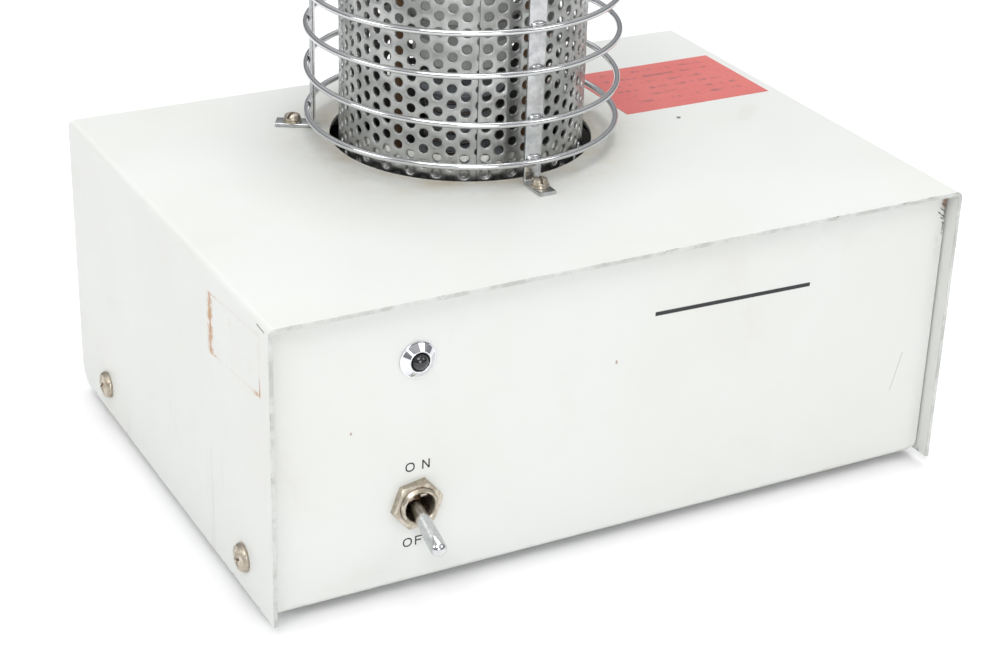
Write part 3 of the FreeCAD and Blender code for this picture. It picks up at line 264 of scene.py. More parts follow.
# ---------------------------------------------------------------- material helper
class Shade:
    """One material's node tree, with a short call for each kind of node."""

    def __init__(self, name, metallic=0.0, ior=1.5):
        self.material = bpy.data.materials.new(name)
        self.material.use_nodes = True
        self.tree = self.material.node_tree
        self.surface = self.tree.nodes["Principled BSDF"]
        self.surface.inputs["Metallic"].default_value = metallic
        self.surface.inputs["IOR"].default_value = ior
        self.place = self.add("ShaderNodeTexCoord").outputs["Object"]
        self.x, self.y, self.z = self.add("ShaderNodeSeparateXYZ", Vector=self.place).outputs

    def put(self, socket, value):
        if isinstance(value, bpy.types.NodeSocket):
            self.tree.links.new(value, socket)
        else:
            socket.default_value = value

    def add(self, kind, **inputs):
        node = self.tree.nodes.new(kind)
        for name, value in inputs.items():
            self.put(node.inputs[name], value)
        return node

    def math(self, operation, a, b=0.0, clamp=False):
        node = self.tree.nodes.new("ShaderNodeMath")
        node.operation, node.use_clamp = operation, clamp
        self.put(node.inputs[0], a)
        self.put(node.inputs[1], b)
        return node.outputs[0]

    def plus(self, a, b, clamp=False):
        return self.math("ADD", a, b, clamp)

    def minus(self, a, b):
        return self.math("SUBTRACT", a, b)

    def size_of(self, value):
        return self.math("ABSOLUTE", value)

    def times(self, *values):
        total = values[0]
        for value in values[1:]:
            total = self.math("MULTIPLY", total, value)
        return total

    def most(self, *values):
        total = values[0]
        for value in values[1:]:
            total = self.math("MAXIMUM", total, value)
        return total

    def fade(self, value, start, end, low=0.0, high=1.0):
        """Goes smoothly from low where value is start to high where it is end."""
        node = self.tree.nodes.new("ShaderNodeMapRange")
        node.interpolation_type = "SMOOTHSTEP"
        for socket, number in zip(node.inputs[:5], (value, start, end, low, high)):
            self.put(socket, number)
        return node.outputs[0]

    def away(self, value, middle):
        """The distance between a value and a middle, always positive."""
        return self.size_of(self.minus(value, middle))

    def length(self, a, b):
        """The length of a right triangle's long side, from its two short ones."""
        return self.math("SQRT", self.plus(self.times(a, a), self.times(b, b)))

    def stretched(self, scale, shift=(0, 0, 0)):
        node = self.add("ShaderNodeMapping", Vector=self.place, Scale=scale, Location=shift)
        return node.outputs[0]

    def noise(self, scale, detail=3.0, rough=0.5, stretch=(1, 1, 1), shift=(0, 0, 0), warp=0.0):
        where = self.stretched(stretch, shift)
        node = self.add("ShaderNodeTexNoise", Vector=where, Scale=scale, Detail=detail, Roughness=rough,
                        Distortion=warp)
        return node.outputs["Fac"]

    def patch(self, scale, limits, *grain, **where):
        """Noise in soft-edged patches. The limits are fade's: start and end, then low and high."""
        return self.fade(self.noise(scale, *grain, **where), *limits)

    def cells(self, scale, stretch=(1, 1, 1), shift=(0, 0, 0)):
        """Distance to the nearest random point, and that point's own random number."""
        node = self.add("ShaderNodeTexVoronoi", Vector=self.stretched(stretch, shift), Scale=scale)
        number = self.add("ShaderNodeSeparateColor", Color=node.outputs["Color"]).outputs[0]
        return node.outputs["Distance"], number

    def specks(self, scale, size, share, shift=(0, 0, 0)):
        """Sparse round dots: a share of the cells holds one, of about the size given in metres."""
        distance, number = self.cells(scale, shift=shift)
        kept = self.math("LESS_THAN", number, share)
        grown = self.times(number, size * scale / share)
        return self.times(self.math("LESS_THAN", distance, grown), kept)

    def mix(self, factor, a, b):
        node = self.tree.nodes.new("ShaderNodeMix")
        node.data_type = "RGBA"
        self.put(node.inputs["Factor"], factor)
        for socket, value in zip([s for s in node.inputs if s.type == "RGBA"], (a, b)):
            self.put(socket, value if isinstance(value, bpy.types.NodeSocket) else (*value, 1.0))
        return [s for s in node.outputs if s.type == "RGBA"][0]

    def line(self, along, up, start, end, width):
        """1 on a thin straight stroke between two points of a plane, 0 away from it."""
        run, rise = end[0] - start[0], end[1] - start[1]
        square = run * run + rise * rise
        a = self.minus(along, start[0])
        b = self.minus(up, start[1])
        dot = self.plus(self.times(a, run / square), self.times(b, rise / square))
        t = self.plus(dot, 0.0, clamp=True)
        da = self.minus(a, self.times(t, run))
        db = self.minus(b, self.times(t, rise))
        return self.fade(self.length(da, db), width * 1.3, width * 0.6)

    def radius(self, centre):
        """Distance from a vertical axis."""
        a = self.minus(self.x, centre.x)
        b = self.minus(self.y, centre.y)
        return self.length(a, b)

    def finish(self, colour, roughness, height=None, strength=0.3, distance=0.02 * MM):
        self.put(self.surface.inputs["Base Color"], colour if isinstance(colour, bpy.types.NodeSocket)
                 else (*colour, 1.0))
        self.put(self.surface.inputs["Roughness"], roughness)
        if height is not None:
            bump = self.add("ShaderNodeBump", Strength=strength, Distance=distance, Height=height)
            self.tree.links.new(bump.outputs["Normal"], self.surface.inputs["Normal"])
        return self.material


# ---------------------------------------------------------------- materials
PAINT = (0.673, 0.686, 0.665)
PAINT_WARM = (0.645, 0.646, 0.600)
BARE_STEEL = (0.16, 0.16, 0.15)
RUST = (0.42, 0.20, 0.060)


def paint_base(s):
    """Sprayed paint: slow patches, a warmer cast in places, fine dirt specks. Returns colour and height."""
    patches = s.patch(14, (0.42, 0.72), 4, 0.6)
    smears = s.patch(55, (0.56, 0.78), 5, 0.6, stretch=(0.35, 1, 1), shift=(3, 1, 2), warp=0.6)
    colour = s.mix(s.times(patches, 0.40), PAINT, PAINT_WARM)
    colour = s.mix(s.times(smears, 0.05), colour, (0.42, 0.40, 0.34))
    dots = s.most(s.specks(70, 0.28 * MM, 0.10), s.specks(190, 0.16 * MM, 0.07, shift=(4, 2, 7)))
    colour = s.mix(s.times(dots, 0.55), colour, (0.20, 0.17, 0.13))
    peel = s.noise(1100, 2, 0.5)
    return colour, peel


def cover_paint():
    """The cover's paint: dust round the outlet, chipped edges, an old label's outline and single marks."""
    s = Shade("cover_paint")
    colour, peel = paint_base(s)
    on_top = s.fade(s.z, TOP - 0.6 * MM, TOP - 0.2 * MM)

    # brown dust that hot air has baked on round the outlet
    r = s.radius(AXIS)
    ring = s.fade(r, 74 * MM, 43 * MM)
    cloud = s.patch(60, (0.36, 0.70), 6, 0.65, shift=(1, 5, 0))
    close = s.fade(r, 50 * MM, 43.5 * MM)
    dust = s.times(on_top, s.plus(s.times(ring, ring, cloud, 0.50), s.times(close, 0.22), clamp=True))
    colour = s.mix(dust, colour, (0.50, 0.43, 0.30))
    grime = s.times(on_top, s.specks(420, 0.16 * MM, 0.35, shift=(8, 1, 1)), ring)
    colour = s.mix(s.times(grime, 0.5), colour, (0.12, 0.09, 0.06))

    # the cut front edge and the folds, where the paint is chipped
    front_edge = s.fade(s.y, FRONT + 0.42 * MM, FRONT + 0.12 * MM)
    chip_line = s.patch(260, (0.56, 0.63), 6, 0.75, stretch=(0.45, 1, 0.6))
    behind = s.fade(s.away(s.y, FRONT + 0.15 * MM), 0.55 * MM, 0.15 * MM)
    upper = s.fade(s.z, TOP - 0.35 * MM, TOP - 0.12 * MM)
    outer = s.fade(s.away(s.x, MIDDLE), HALF_WIDTH - 0.5 * MM, HALF_WIDTH - 0.2 * MM)
    chips = s.times(behind, s.most(upper, s.times(outer, 0.45)), chip_line)
    spots = s.times(s.fade(s.y, FRONT + 1.6 * MM, FRONT + 0.4 * MM),
                    s.specks(150, 0.8 * MM, 0.16, shift=(2, 2, 2)))
    lower = s.times(s.fade(s.z, COVER_LO.z + 1.2 * MM, COVER_LO.z + 0.3 * MM),
                    s.patch(300, (0.60, 0.68), 5, 0.7, shift=(6, 6, 6)))
    worn = s.most(chips, spots, lower)
    scratches = s.patch(420, (0.42, 0.62), 5, 0.75, stretch=(0.2, 1, 0.2), shift=(1, 3, 8))
    colour = s.mix(s.times(front_edge, s.plus(s.times(scratches, 0.45), 0.30)), colour, (0.36, 0.37, 0.35))
    colour = s.mix(s.times(worn, 0.85), colour, BARE_STEEL)

    # what an old label has left on the left side: a brown outline, heavy at two places
    on_left = s.fade(s.x, LEFT + 0.6 * MM, LEFT + 0.2 * MM)
    half_l, half_h = 18.4 * MM, 9.4 * MM
    slope = s.times(s.minus(s.y, FRONT + 26 * MM), 0.09)
    along = s.minus(s.y, FRONT + 25.5 * MM)
    up = s.minus(s.plus(s.z, slope), TOP - 15.6 * MM)
    side_l = s.minus(s.size_of(along), half_l)
    side_h = s.minus(s.size_of(up), half_h)
    edge = s.size_of(s.most(side_l, side_h))
    wobble = s.times(s.minus(s.noise(170, 3, 0.6), 0.5), 2.2 * MM)
    edge = s.size_of(s.plus(edge, wobble))
    rear = s.fade(along, half_l - 7 * MM, half_l - 1 * MM)
    corner = s.times(s.fade(along, -half_l + 6 * MM, -half_l + 1 * MM),
                     s.fade(up, -half_h + 8 * MM, -half_h + 1 * MM))
    weight = s.most(0.12, rear, corner)
    broken = s.patch(330, (0.38, 0.54), 6, 0.75, stretch=(1, 1, 0.5), shift=(9, 3, 4))
    outline = s.times(on_left, s.fade(edge, 0.85 * MM, 0.25 * MM), broken, weight)
    inside = s.times(on_left, s.fade(side_l, 0, -2 * MM), s.fade(side_h, 0, -2 * MM),
                     s.patch(120, (0.55, 0.72), 5, 0.7, shift=(2, 9, 9)), 0.14)
    spill = s.times(on_left, rear, s.fade(s.away(side_l, 0), 3.2 * MM, 0.4 * MM),
                    s.fade(side_h, 1 * MM, -1 * MM),
                    s.patch(300, (0.44, 0.54), 5, 0.8, shift=(5, 5, 1)), 0.9)
    colour = s.mix(s.most(outline, inside, spill), colour, RUST)

    # single marks: a black knock by the left fold's front end, scuffs low on the left side, marks on the top
    knock = s.line(s.y, s.z, (FRONT + 3.2 * MM, TOP - 2.0 * MM), (FRONT + 8.2 * MM, TOP - 1.7 * MM),
                   0.20 * MM)
    knock = s.times(on_left, knock)
    scuffs = s.times(on_left, s.patch(75, (0.57, 0.72), 6, 0.6, stretch=(1, 1.6, 0.25), shift=(7, 0, 3)),
                     s.fade(s.z, TOP - 45 * MM, COVER_LO.z + 20 * MM), 0.16)
    dot = s.line(s.x, s.y, (RIGHT - 47.9 * MM, FRONT + 91.0 * MM), (RIGHT - 47.4 * MM, FRONT + 91.5 * MM),
                 0.7 * MM)
    dot = s.times(on_top, dot)
    smear = s.line(s.x, s.y, (RIGHT - 28 * MM, FRONT + 82 * MM), (RIGHT - 20 * MM, FRONT + 90 * MM), 2.6 * MM)
    smear = s.times(on_top, smear, 0.12)
    colour = s.mix(scuffs, colour, (0.35, 0.33, 0.27))
    colour = s.mix(smear, colour, (0.45, 0.42, 0.33))
    colour = s.mix(s.times(s.most(knock, dot), 0.85), colour, (0.03, 0.025, 0.02))

    roughness = s.plus(s.patch(30, (0.3, 0.7, 0.36, 0.48), 4, 0.6, shift=(1, 1, 8)), s.times(dust, 0.4))
    height = s.minus(s.times(peel, 0.25), worn)
    return s.finish(colour, roughness, height, 0.35, 0.06 * MM)


def panel_paint():
    """The chassis's paint: a scratch, two dots, rubs in the upper right corner and faint fingermarks."""
    s = Shade("panel_paint")
    colour, peel = paint_base(s)
    on_front = s.fade(s.y, PANEL + 0.6 * MM, PANEL + 0.2 * MM)

    def stroke(start, end, width):
        """A thin mark. Its ends are in millimetres left of the cover's right side and below its top."""
        (left0, down0), (left1, down1) = start, end
        ends = (RIGHT - left0 * MM, TOP - down0 * MM), (RIGHT - left1 * MM, TOP - down1 * MM)
        return s.line(s.x, s.z, *ends, width * MM)

    scratch = stroke((12.2, 56.2), (15.6, 69.3), 0.16)
    dots = s.most(stroke((207.6, 40.1), (207.6, 40.4), 0.34), stroke((120.8, 35.9), (120.8, 36.5), 0.36))
    nicks = s.patch(700, (0.36, 0.50), 4, 0.7, shift=(4, 4, 0))
    flange, slant = 1.9, 0.8
    rubs = [stroke((flange + length, down), (flange, down + slant * length), 0.24)
            for down, length in ((5.4, 1.5), (6.6, 2.3), (8.2, 2.6), (10.2, 1.4), (11.8, 0.9))]
    rub_edge = stroke((2.1, 6), (2.3, 16), 0.22)
    strokes = s.times(s.most(rub_edge, *rubs), nicks)
    rust = s.times(s.fade(s.x, RIGHT - 4.2 * MM, RIGHT - 2.6 * MM),
                   s.fade(s.z, TOP - 8.0 * MM, TOP - 5.5 * MM), 0.8)
    rub = s.times(s.fade(s.x, RIGHT - 5.4 * MM, RIGHT - 3.6 * MM), s.fade(s.z, TOP - 30 * MM, TOP - 4 * MM),
                  s.patch(200, (0.45, 0.65), 4, 0.6, shift=(3, 3, 3)), 0.5)
    fingers = s.patch(26, (0.56, 0.74), 5, 0.6, stretch=(1, 1, 0.8), shift=(5, 0, 6), warp=0.8)
    fingers = s.times(fingers, 0.10)
    low = s.times(s.fade(s.z, CHASSIS_LO.z + 3.0 * MM, CHASSIS_LO.z + 0.5 * MM),
                  s.patch(180, (0.50, 0.66), 5, 0.7, stretch=(0.5, 1, 1), shift=(0, 3, 1)), 0.45)
    colour = s.mix(s.times(on_front, fingers), colour, (0.45, 0.38, 0.30))
    colour = s.mix(s.times(on_front, low), colour, (0.36, 0.33, 0.28))
    colour = s.mix(s.times(on_front, s.most(s.times(scratch, 0.55), rub)), colour, (0.26, 0.28, 0.28))
    colour = s.mix(s.times(on_front, dots, 0.7), colour, (0.24, 0.13, 0.08))
    colour = s.mix(s.times(on_front, strokes, 0.85), colour, (0.02, 0.02, 0.02))
    colour = s.mix(s.times(on_front, rust), colour, (0.16, 0.07, 0.03))
    roughness = s.patch(34, (0.3, 0.7, 0.30, 0.40), 4, 0.6, shift=(2, 6, 1))
    return s.finish(colour, roughness, s.times(peel, 0.25), 0.30, 0.06 * MM)


def worn_metal(name, light, dark, rough=(0.25, 0.45), grain=300.0, tint=None, amount=0.5, stretch=(1, 1, 1),
               bump=0.25):
    """Metal with mottled brightness, a second tint in patches, and fine pits."""
    s = Shade(name, metallic=1.0)
    mottle = s.patch(grain, (0.30, 0.72), 5, 0.65, stretch=stretch)
    slow = s.patch(grain / 6, (0.35, 0.7), 3, 0.6, stretch=stretch, shift=(3, 3, 3))
    colour = s.mix(mottle, light, dark)
    if tint:
        stain = s.times(slow, s.patch(grain / 3, (0.46, 0.66), 5, 0.7, shift=(7, 1, 2)), amount)
        colour = s.mix(stain, colour, tint)
    roughness = s.plus(s.fade(mottle, 0, 1, rough[0], rough[1]), s.times(slow, 0.08))
    height = s.plus(s.times(s.noise(grain * 4, 3, 0.6), 0.6), s.times(mottle, 0.6))
    return s.finish(colour, roughness, height, bump, 0.02 * MM)


def galvanised():
    """Galvanised sheet: soft spangles, dull grey bloom, dark vertical streaks and brown spots."""
    s = Shade("galvanised_sheet", metallic=1.0)
    _, spangle = s.cells(170, stretch=(1, 1, 0.6))
    grain = s.noise(420, 6, 0.7)
    bloom = s.patch(48, (0.36, 0.68), 5, 0.65, stretch=(1, 1, 0.55), shift=(2, 0, 4))
    streaks = s.patch(95, (0.54, 0.72), 5, 0.7, stretch=(1, 1, 0.22), shift=(5, 2, 0))
    colour = s.mix(s.times(bloom, 0.75), (0.46, 0.47, 0.46), (0.27, 0.275, 0.265))
    colour = s.mix(s.times(spangle, 0.20), colour, (0.60, 0.61, 0.61))
    colour = s.mix(s.times(streaks, 0.50), colour, (0.11, 0.11, 0.10))
    fine = s.fade(grain, 0.55, 0.75)
    colour = s.mix(s.times(fine, 0.30), colour, (0.14, 0.14, 0.13))
    brown = s.times(s.patch(150, (0.60, 0.74), 6, 0.75, shift=(8, 8, 1)), 0.45)
    colour = s.mix(brown, colour, (0.20, 0.13, 0.075))
    roughness = s.plus(s.fade(bloom, 0, 1, 0.22, 0.38), s.times(grain, 0.14))
    height = s.plus(s.times(grain, 0.5), s.times(s.noise(60, 3, 0.5, shift=(1, 7, 7)), 1.6))
    return s.finish(colour, roughness, height, 0.35, 0.05 * MM)


def chrome(name, pits=0.25, haze=(0.06, 0.16), tone=(0.80, 0.81, 0.82)):
    """Chromium plate: bright, with a little haze and small dark pits."""
    s = Shade(name, metallic=1.0)
    haze_patch = s.patch(140, (0.4, 0.7), 4, 0.6)
    pit = s.most(s.specks(900, 0.10 * MM, 0.22), s.specks(420, 0.16 * MM, 0.10, shift=(3, 1, 5)))
    colour = s.mix(s.times(haze_patch, 0.25), tone, (0.58, 0.58, 0.58))
    colour = s.mix(s.times(pit, pits), colour, (0.10, 0.08, 0.06))
    roughness = s.plus(s.fade(haze_patch, 0, 1, haze[0], haze[1]), s.times(pit, 0.3))
    height = s.minus(s.times(s.noise(330, 3, 0.5), 0.5), s.times(pit, 0.5))
    return s.finish(colour, roughness, height, 0.12, 0.03 * MM)


def collar_steel():
    """Bright plated steel on the neck; the plate that lies inside the case is painted near black as shade."""
    s = Shade("collar_steel", metallic=0.9)
    neck = s.fade(s.z, TOP - 7.5 * MM, TOP - 5 * MM)
    mottle = s.patch(280, (0.3, 0.7), 5, 0.65)
    bright = s.mix(mottle, (0.78, 0.78, 0.77), (0.60, 0.60, 0.59))
    # painted shade: the plate inside the case is coloured near black for the shade it lies in
    plate_painted_shade = s.mix(mottle, (0.020, 0.020, 0.021), (0.045, 0.043, 0.040))
    return s.finish(s.mix(neck, plate_painted_shade, bright), s.fade(neck, 0, 1, 0.6, 0.25), mottle, 0.2)


def lever_chrome():
    """Satin chrome, brown and dull where the lever meets its ball."""
    s = Shade("lever_chrome", metallic=1.0)
    gap = s.add("ShaderNodeVectorMath", Vector=s.place)
    gap.operation = "DISTANCE"
    gap.inputs[1].default_value = PIVOT
    near = s.fade(gap.outputs["Value"], 6.0 * MM, 2.6 * MM)
    grain = s.patch(700, (0.35, 0.7), 4, 0.6)
    colour = s.mix(s.times(grain, 0.35), (0.66, 0.67, 0.68), (0.40, 0.41, 0.42))
    colour = s.mix(s.times(near, s.patch(330, (0.25, 0.5), 4, 0.7)), colour, (0.13, 0.08, 0.045))
    roughness = s.plus(s.fade(grain, 0, 1, 0.10, 0.20), s.times(near, 0.12))
    return s.finish(colour, roughness, grain, 0.12, 0.02 * MM)


def moulded(name, colour, second, rough=(0.40, 0.55), grain=900.0, bump=0.25):
    """Moulded plastic, rubber or ceramic: fine surface grain and slow change of tone."""
    s = Shade(name)
    slow = s.patch(40, (0.35, 0.7), 4, 0.6)
    fine = s.noise(grain, 3, 0.6, shift=(1, 2, 3))
    tone = s.mix(slow, colour, second)
    pale = tuple(min(1.0, c * 1.9 + 0.01) for c in second)
    tone = s.mix(s.times(s.specks(500, 0.14 * MM, 0.25), 0.4), tone, pale)
    roughness = s.fade(slow, 0, 1, rough[0], rough[1])
    return s.finish(tone, roughness, fine, bump, 0.04 * MM)


def label_red():
    """Red stuck-on label with worn rows of plain dark bars in place of print."""
    s = Shade("label_red")
    u = s.minus(s.x, LABEL_LO.x)
    v = s.minus(s.y, LABEL_LO.y)
    row_pitch = 5.4 * MM
    row = s.math("FRACT", s.math("DIVIDE", v, row_pitch))
    in_row = s.fade(s.away(row, 0.5), 0.20, 0.14)
    margins = s.times(s.fade(u, 5 * MM, 6 * MM), s.fade(u, 53 * MM, 52 * MM), s.fade(v, 4 * MM, 5 * MM),
                      s.fade(v, 37.5 * MM, 36.5 * MM))
    number = s.math("FLOOR", s.math("DIVIDE", v, row_pitch))
    words = s.add("ShaderNodeTexNoise", Scale=1.0, Detail=2.0, Roughness=0.6, Vector=s.add(
        "ShaderNodeCombineXYZ", X=s.times(u, 230.0), Y=s.times(number, 7.3)).outputs[0])
    worn = s.patch(260, (0.40, 0.60), 5, 0.7)
    ink = s.times(in_row, margins, s.fade(words.outputs["Fac"], 0.47, 0.52), worn, 0.55)
    fibre = s.noise(650, 4, 0.7)
    patches = s.patch(45, (0.3, 0.7), 4, 0.6)
    colour = s.mix(patches, (0.58, 0.135, 0.125), (0.61, 0.16, 0.145))
    colour = s.mix(s.times(s.fade(fibre, 0.5, 0.8), 0.22), colour, (0.68, 0.26, 0.24))
    colour = s.mix(ink, colour, (0.16, 0.09, 0.10))
    return s.finish(colour, s.fade(fibre, 0.3, 0.7, 0.42, 0.58), fibre, 0.3, 0.03 * MM)


def spigot_aluminium(at, bore_r):
    """Spun aluminium with fine turning marks, its bore coloured near black and made matt."""
    s = Shade("spun_aluminium", metallic=0.9)
    across, up = s.minus(s.x, at.x), s.minus(s.z, at.z)
    r = s.length(across, up)
    turning = s.noise(260, 5, 0.65, stretch=(1, 6, 1))
    colour = s.mix(s.fade(turning, 0.3, 0.72), (0.74, 0.75, 0.76), (0.58, 0.59, 0.60))
    # the bore's wall is coloured near black and made matt, out to just past the wall
    dust = s.fade(r, bore_r + 0.6 * MM, bore_r + 0.2 * MM)
    cloud = s.patch(90, (0.3, 0.7), 5, 0.7)
    colour = s.mix(dust, colour, s.mix(cloud, (0.035, 0.033, 0.030), (0.070, 0.064, 0.056)))
    roughness = s.plus(s.fade(turning, 0.3, 0.72, 0.24, 0.36), s.times(dust, 0.5))
    return s.finish(colour, roughness, s.times(turning, 0.5), 0.20, 0.02 * MM)


def lens_glass():
    """Smoked glass, nearly black, with a sharp gloss."""
    s = Shade("lens_dark", ior=1.65)
    slow = s.noise(300, 3, 0.6)
    colour = s.mix(slow, (0.005, 0.005, 0.006), (0.020, 0.020, 0.023))
    return s.finish(colour, s.fade(slow, 0.3, 0.7, 0.05, 0.10))


def ink_black():
    """Printed black, slightly worn."""
    s = Shade("ink_black")
    wear = s.noise(900, 5, 0.7)
    return s.finish(s.mix(s.fade(wear, 0.5, 0.75), (0.012, 0.013, 0.015), (0.045, 0.05, 0.055)),
                    s.fade(wear, 0.3, 0.7, 0.45, 0.6))


def glass_tube():
    """The fuse's clear glass, with a thin film of dust."""
    s = Shade("fuse_glass", ior=1.5)
    s.surface.inputs["Transmission Weight"].default_value = 0.9
    film = s.noise(400, 3, 0.6)
    return s.finish(s.mix(film, (0.90, 0.93, 0.92), (0.78, 0.82, 0.80)), s.fade(film, 0.3, 0.7, 0.03, 0.10))


# ---------------------------------------------------------------- case
def build_case():
    """The folded cover and chassis, with their cut edges and bends softened."""
    cover = softened(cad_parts["cover"].data, 0.22 * MM, 3)
    show("cover_shell", cover, "base", cover_paint(), "case_paint", "cover")
    pan = softened(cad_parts["chassis"].data, 0.15 * MM, 2)
    show("chassis_pan", pan, "base", panel_paint(), "case_paint", "chassis")
    dress(label_red(), "red_label")


def pan_screw_mesh(head_r, head_h, shank_r, shank_l, recess):
    """One pan-head screw, its seat at the origin and its head along +Z, with a cross or slot in it."""
    profile = rounded([(0, -shank_l, 0), (shank_r, -shank_l, 0.3 * MM), (shank_r, 0, 0),
                       (head_r * 0.97, 0, 0.1 * MM), (head_r, head_h * 0.3, head_h * 0.2),
                       (head_r * 0.86, head_h * 0.8, head_h * 0.3), (head_r * 0.45, head_h, head_r * 0.4),
                       (0, head_h * 1.02, 0)])
    bm = bmesh.new()
    lathe(bm, profile, Matrix.Identity(4))
    head = mesh_of(bm, "head", 50)
    cutter = bmesh.new()
    depth, above = head_h * 0.6, 0.5 * MM
    if recess == "cross":
        wide, narrow, taper = head_r * 0.55, head_r * 0.11, 0.55
        arm = [(wide, -narrow), (wide, narrow), (narrow, narrow)]
        quarters = [Matrix.Rotation(math.radians(90 * k), 2) for k in range(4)]
        outline = [(quarter @ Vector(p)).to_tuple() for quarter in quarters for p in arm]
    else:
        wide, narrow, taper = head_r * 1.3, head_r * 0.15, 1.0
        outline = [(-wide, -narrow), (wide, -narrow), (wide, narrow), (-wide, narrow)]
    prism(cutter, outline, depth + above, Matrix.Translation((0, 0, head_h - depth)), taper)
    return carved(head, mesh_of(cutter, "recess"))


def screw_group(name, node, sizes, places, recess, material, slot="old_nickel"):
    """A node's screws as one piece. Each place is the seat, the way the head faces, and its turn."""
    mesh = pan_screw_mesh(*sizes, recess)
    matrices = [turned(at, axis, turn) for at, axis, turn in places]
    show(name, copies(mesh, matrices, name), "base", material, slot, node)


def build_case_screws(nickel):
    """Two screws low on each side. The front one sits a little higher than the rear one."""
    lo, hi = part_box("cover_screws")
    head_r = 4.6 * MM
    ends = ((lo.y + head_r, hi.z - head_r), (hi.y - head_r, lo.z + head_r))
    places = []
    for side, turns in ((-1, (22, 48)), (1, (10, 70))):
        for (y, z), turn in zip(ends, turns):
            places.append((Vector((LEFT if side < 0 else RIGHT, y, z)), X_AXIS * side, turn))
    sizes = (head_r, (hi.x - RIGHT) * 0.97, 1.6 * MM, 9 * MM)
    screw_group("cover_screw_heads", "cover_screws", sizes, places, "cross", nickel)


# ---------------------------------------------------------------- lettering
INK = 0.05 * MM


def letter_o(bm, width, height, stroke, matrix):
    """A round letter, slightly squared, as a flat ring of ink."""
    count, power = 40, 0.86
    rings = []
    for inset, z in ((0, 0), (0, 1), (stroke, 1), (stroke, 0)):
        half_w, half_h = width / 2 - inset, height / 2 - inset
        ring = []
        for k in range(count):
            a = 2 * math.pi * k / count
            c, s = math.cos(a), math.sin(a)
            x = half_w * math.copysign(abs(c) ** power, c)
            y = half_h * math.copysign(abs(s) ** power, s)
            ring.append(bm.verts.new(matrix @ Vector((x, y, z * INK))))
        rings.append(ring)
    for a, b in zip(rings, rings[1:] + rings[:1]):
        for k in range(count):
            n = (k + 1) % count
            bm.faces.new([a[k], a[n], b[n], b[k]])


def bar(bm, x0, z0, x1, z1, width, matrix):
    """A straight stroke of a letter between two points."""
    along = Vector((x1 - x0, z1 - z0, 0))
    side = Vector((-along.y, along.x, 0)).normalized() * width / 2
    a, b = Vector((x0, z0, 0)), Vector((x1, z1, 0))
    prism(bm, [(p.x, p.y) for p in (a - side, b - side, b + side, a + side)], INK, matrix)


def build_lettering(ink):
    """The switch's two positions, and one plain line where a name could be."""
    switch_x = (NUT_LO.x + NUT_HI.x) / 2
    height, stroke = 3.0 * MM, 0.44 * MM
    half = height / 2

    def on_panel(x, z):
        """The matrix that stands a flat shape on the front panel, its ink just proud of the paint."""
        return Matrix.Translation((x, PANEL - INK * 0.6, z)) @ UPRIGHT @ Matrix.Translation((0, 0, -INK))

    words = bmesh.new()
    on_z, off_z = TOP - 55.6 * MM, TOP - 80.9 * MM
    letter_o(words, 3.0 * MM, height, stroke, on_panel(switch_x - 1.9 * MM, on_z))
    n, leg = on_panel(switch_x + 3.2 * MM, on_z), 1.0 * MM
    bar(words, -leg, -half, -leg, half, stroke, n)
    bar(words, leg, -half, leg, half, stroke, n)
    bar(words, -leg, half - 0.1 * MM, leg, -half + 0.1 * MM, stroke, n)
    letter_o(words, 3.0 * MM, height, stroke, on_panel(switch_x - 2.5 * MM, off_z))
    for x in (1.1 * MM, 4.5 * MM):
        f, stem, top_arm = on_panel(switch_x + x, off_z), -0.9 * MM, half - stroke / 2
        bar(words, stem, -half, stem, half, stroke, f)
        bar(words, stem, top_arm, 1.2 * MM, top_arm, stroke, f)
        bar(words, stem, 0.05 * MM, 0.9 * MM, 0.05 * MM, stroke, f)
    show("switch_lettering", mesh_of(words, "words"), "base", ink, None)

    stripe = bmesh.new()
    bar(stripe, -28 * MM, 0.5 * MM, 28 * MM, -0.5 * MM, 1.3 * MM,
        on_panel(MIDDLE + 36.9 * MM, TOP - 23.4 * MM))
    show("panel_line", mesh_of(stripe, "stripe"), "base", ink, None)


# ---------------------------------------------------------------- perforated cylinder
HOLE_R, HOLE_PITCH, COLUMNS = 1.5 * MM, 5.12 * MM, 57
SEAM, SEAM_TO_FIRST, SEAM_GAP = -110.1, 4.1, 9.4
HOLE_SEGMENTS = 16


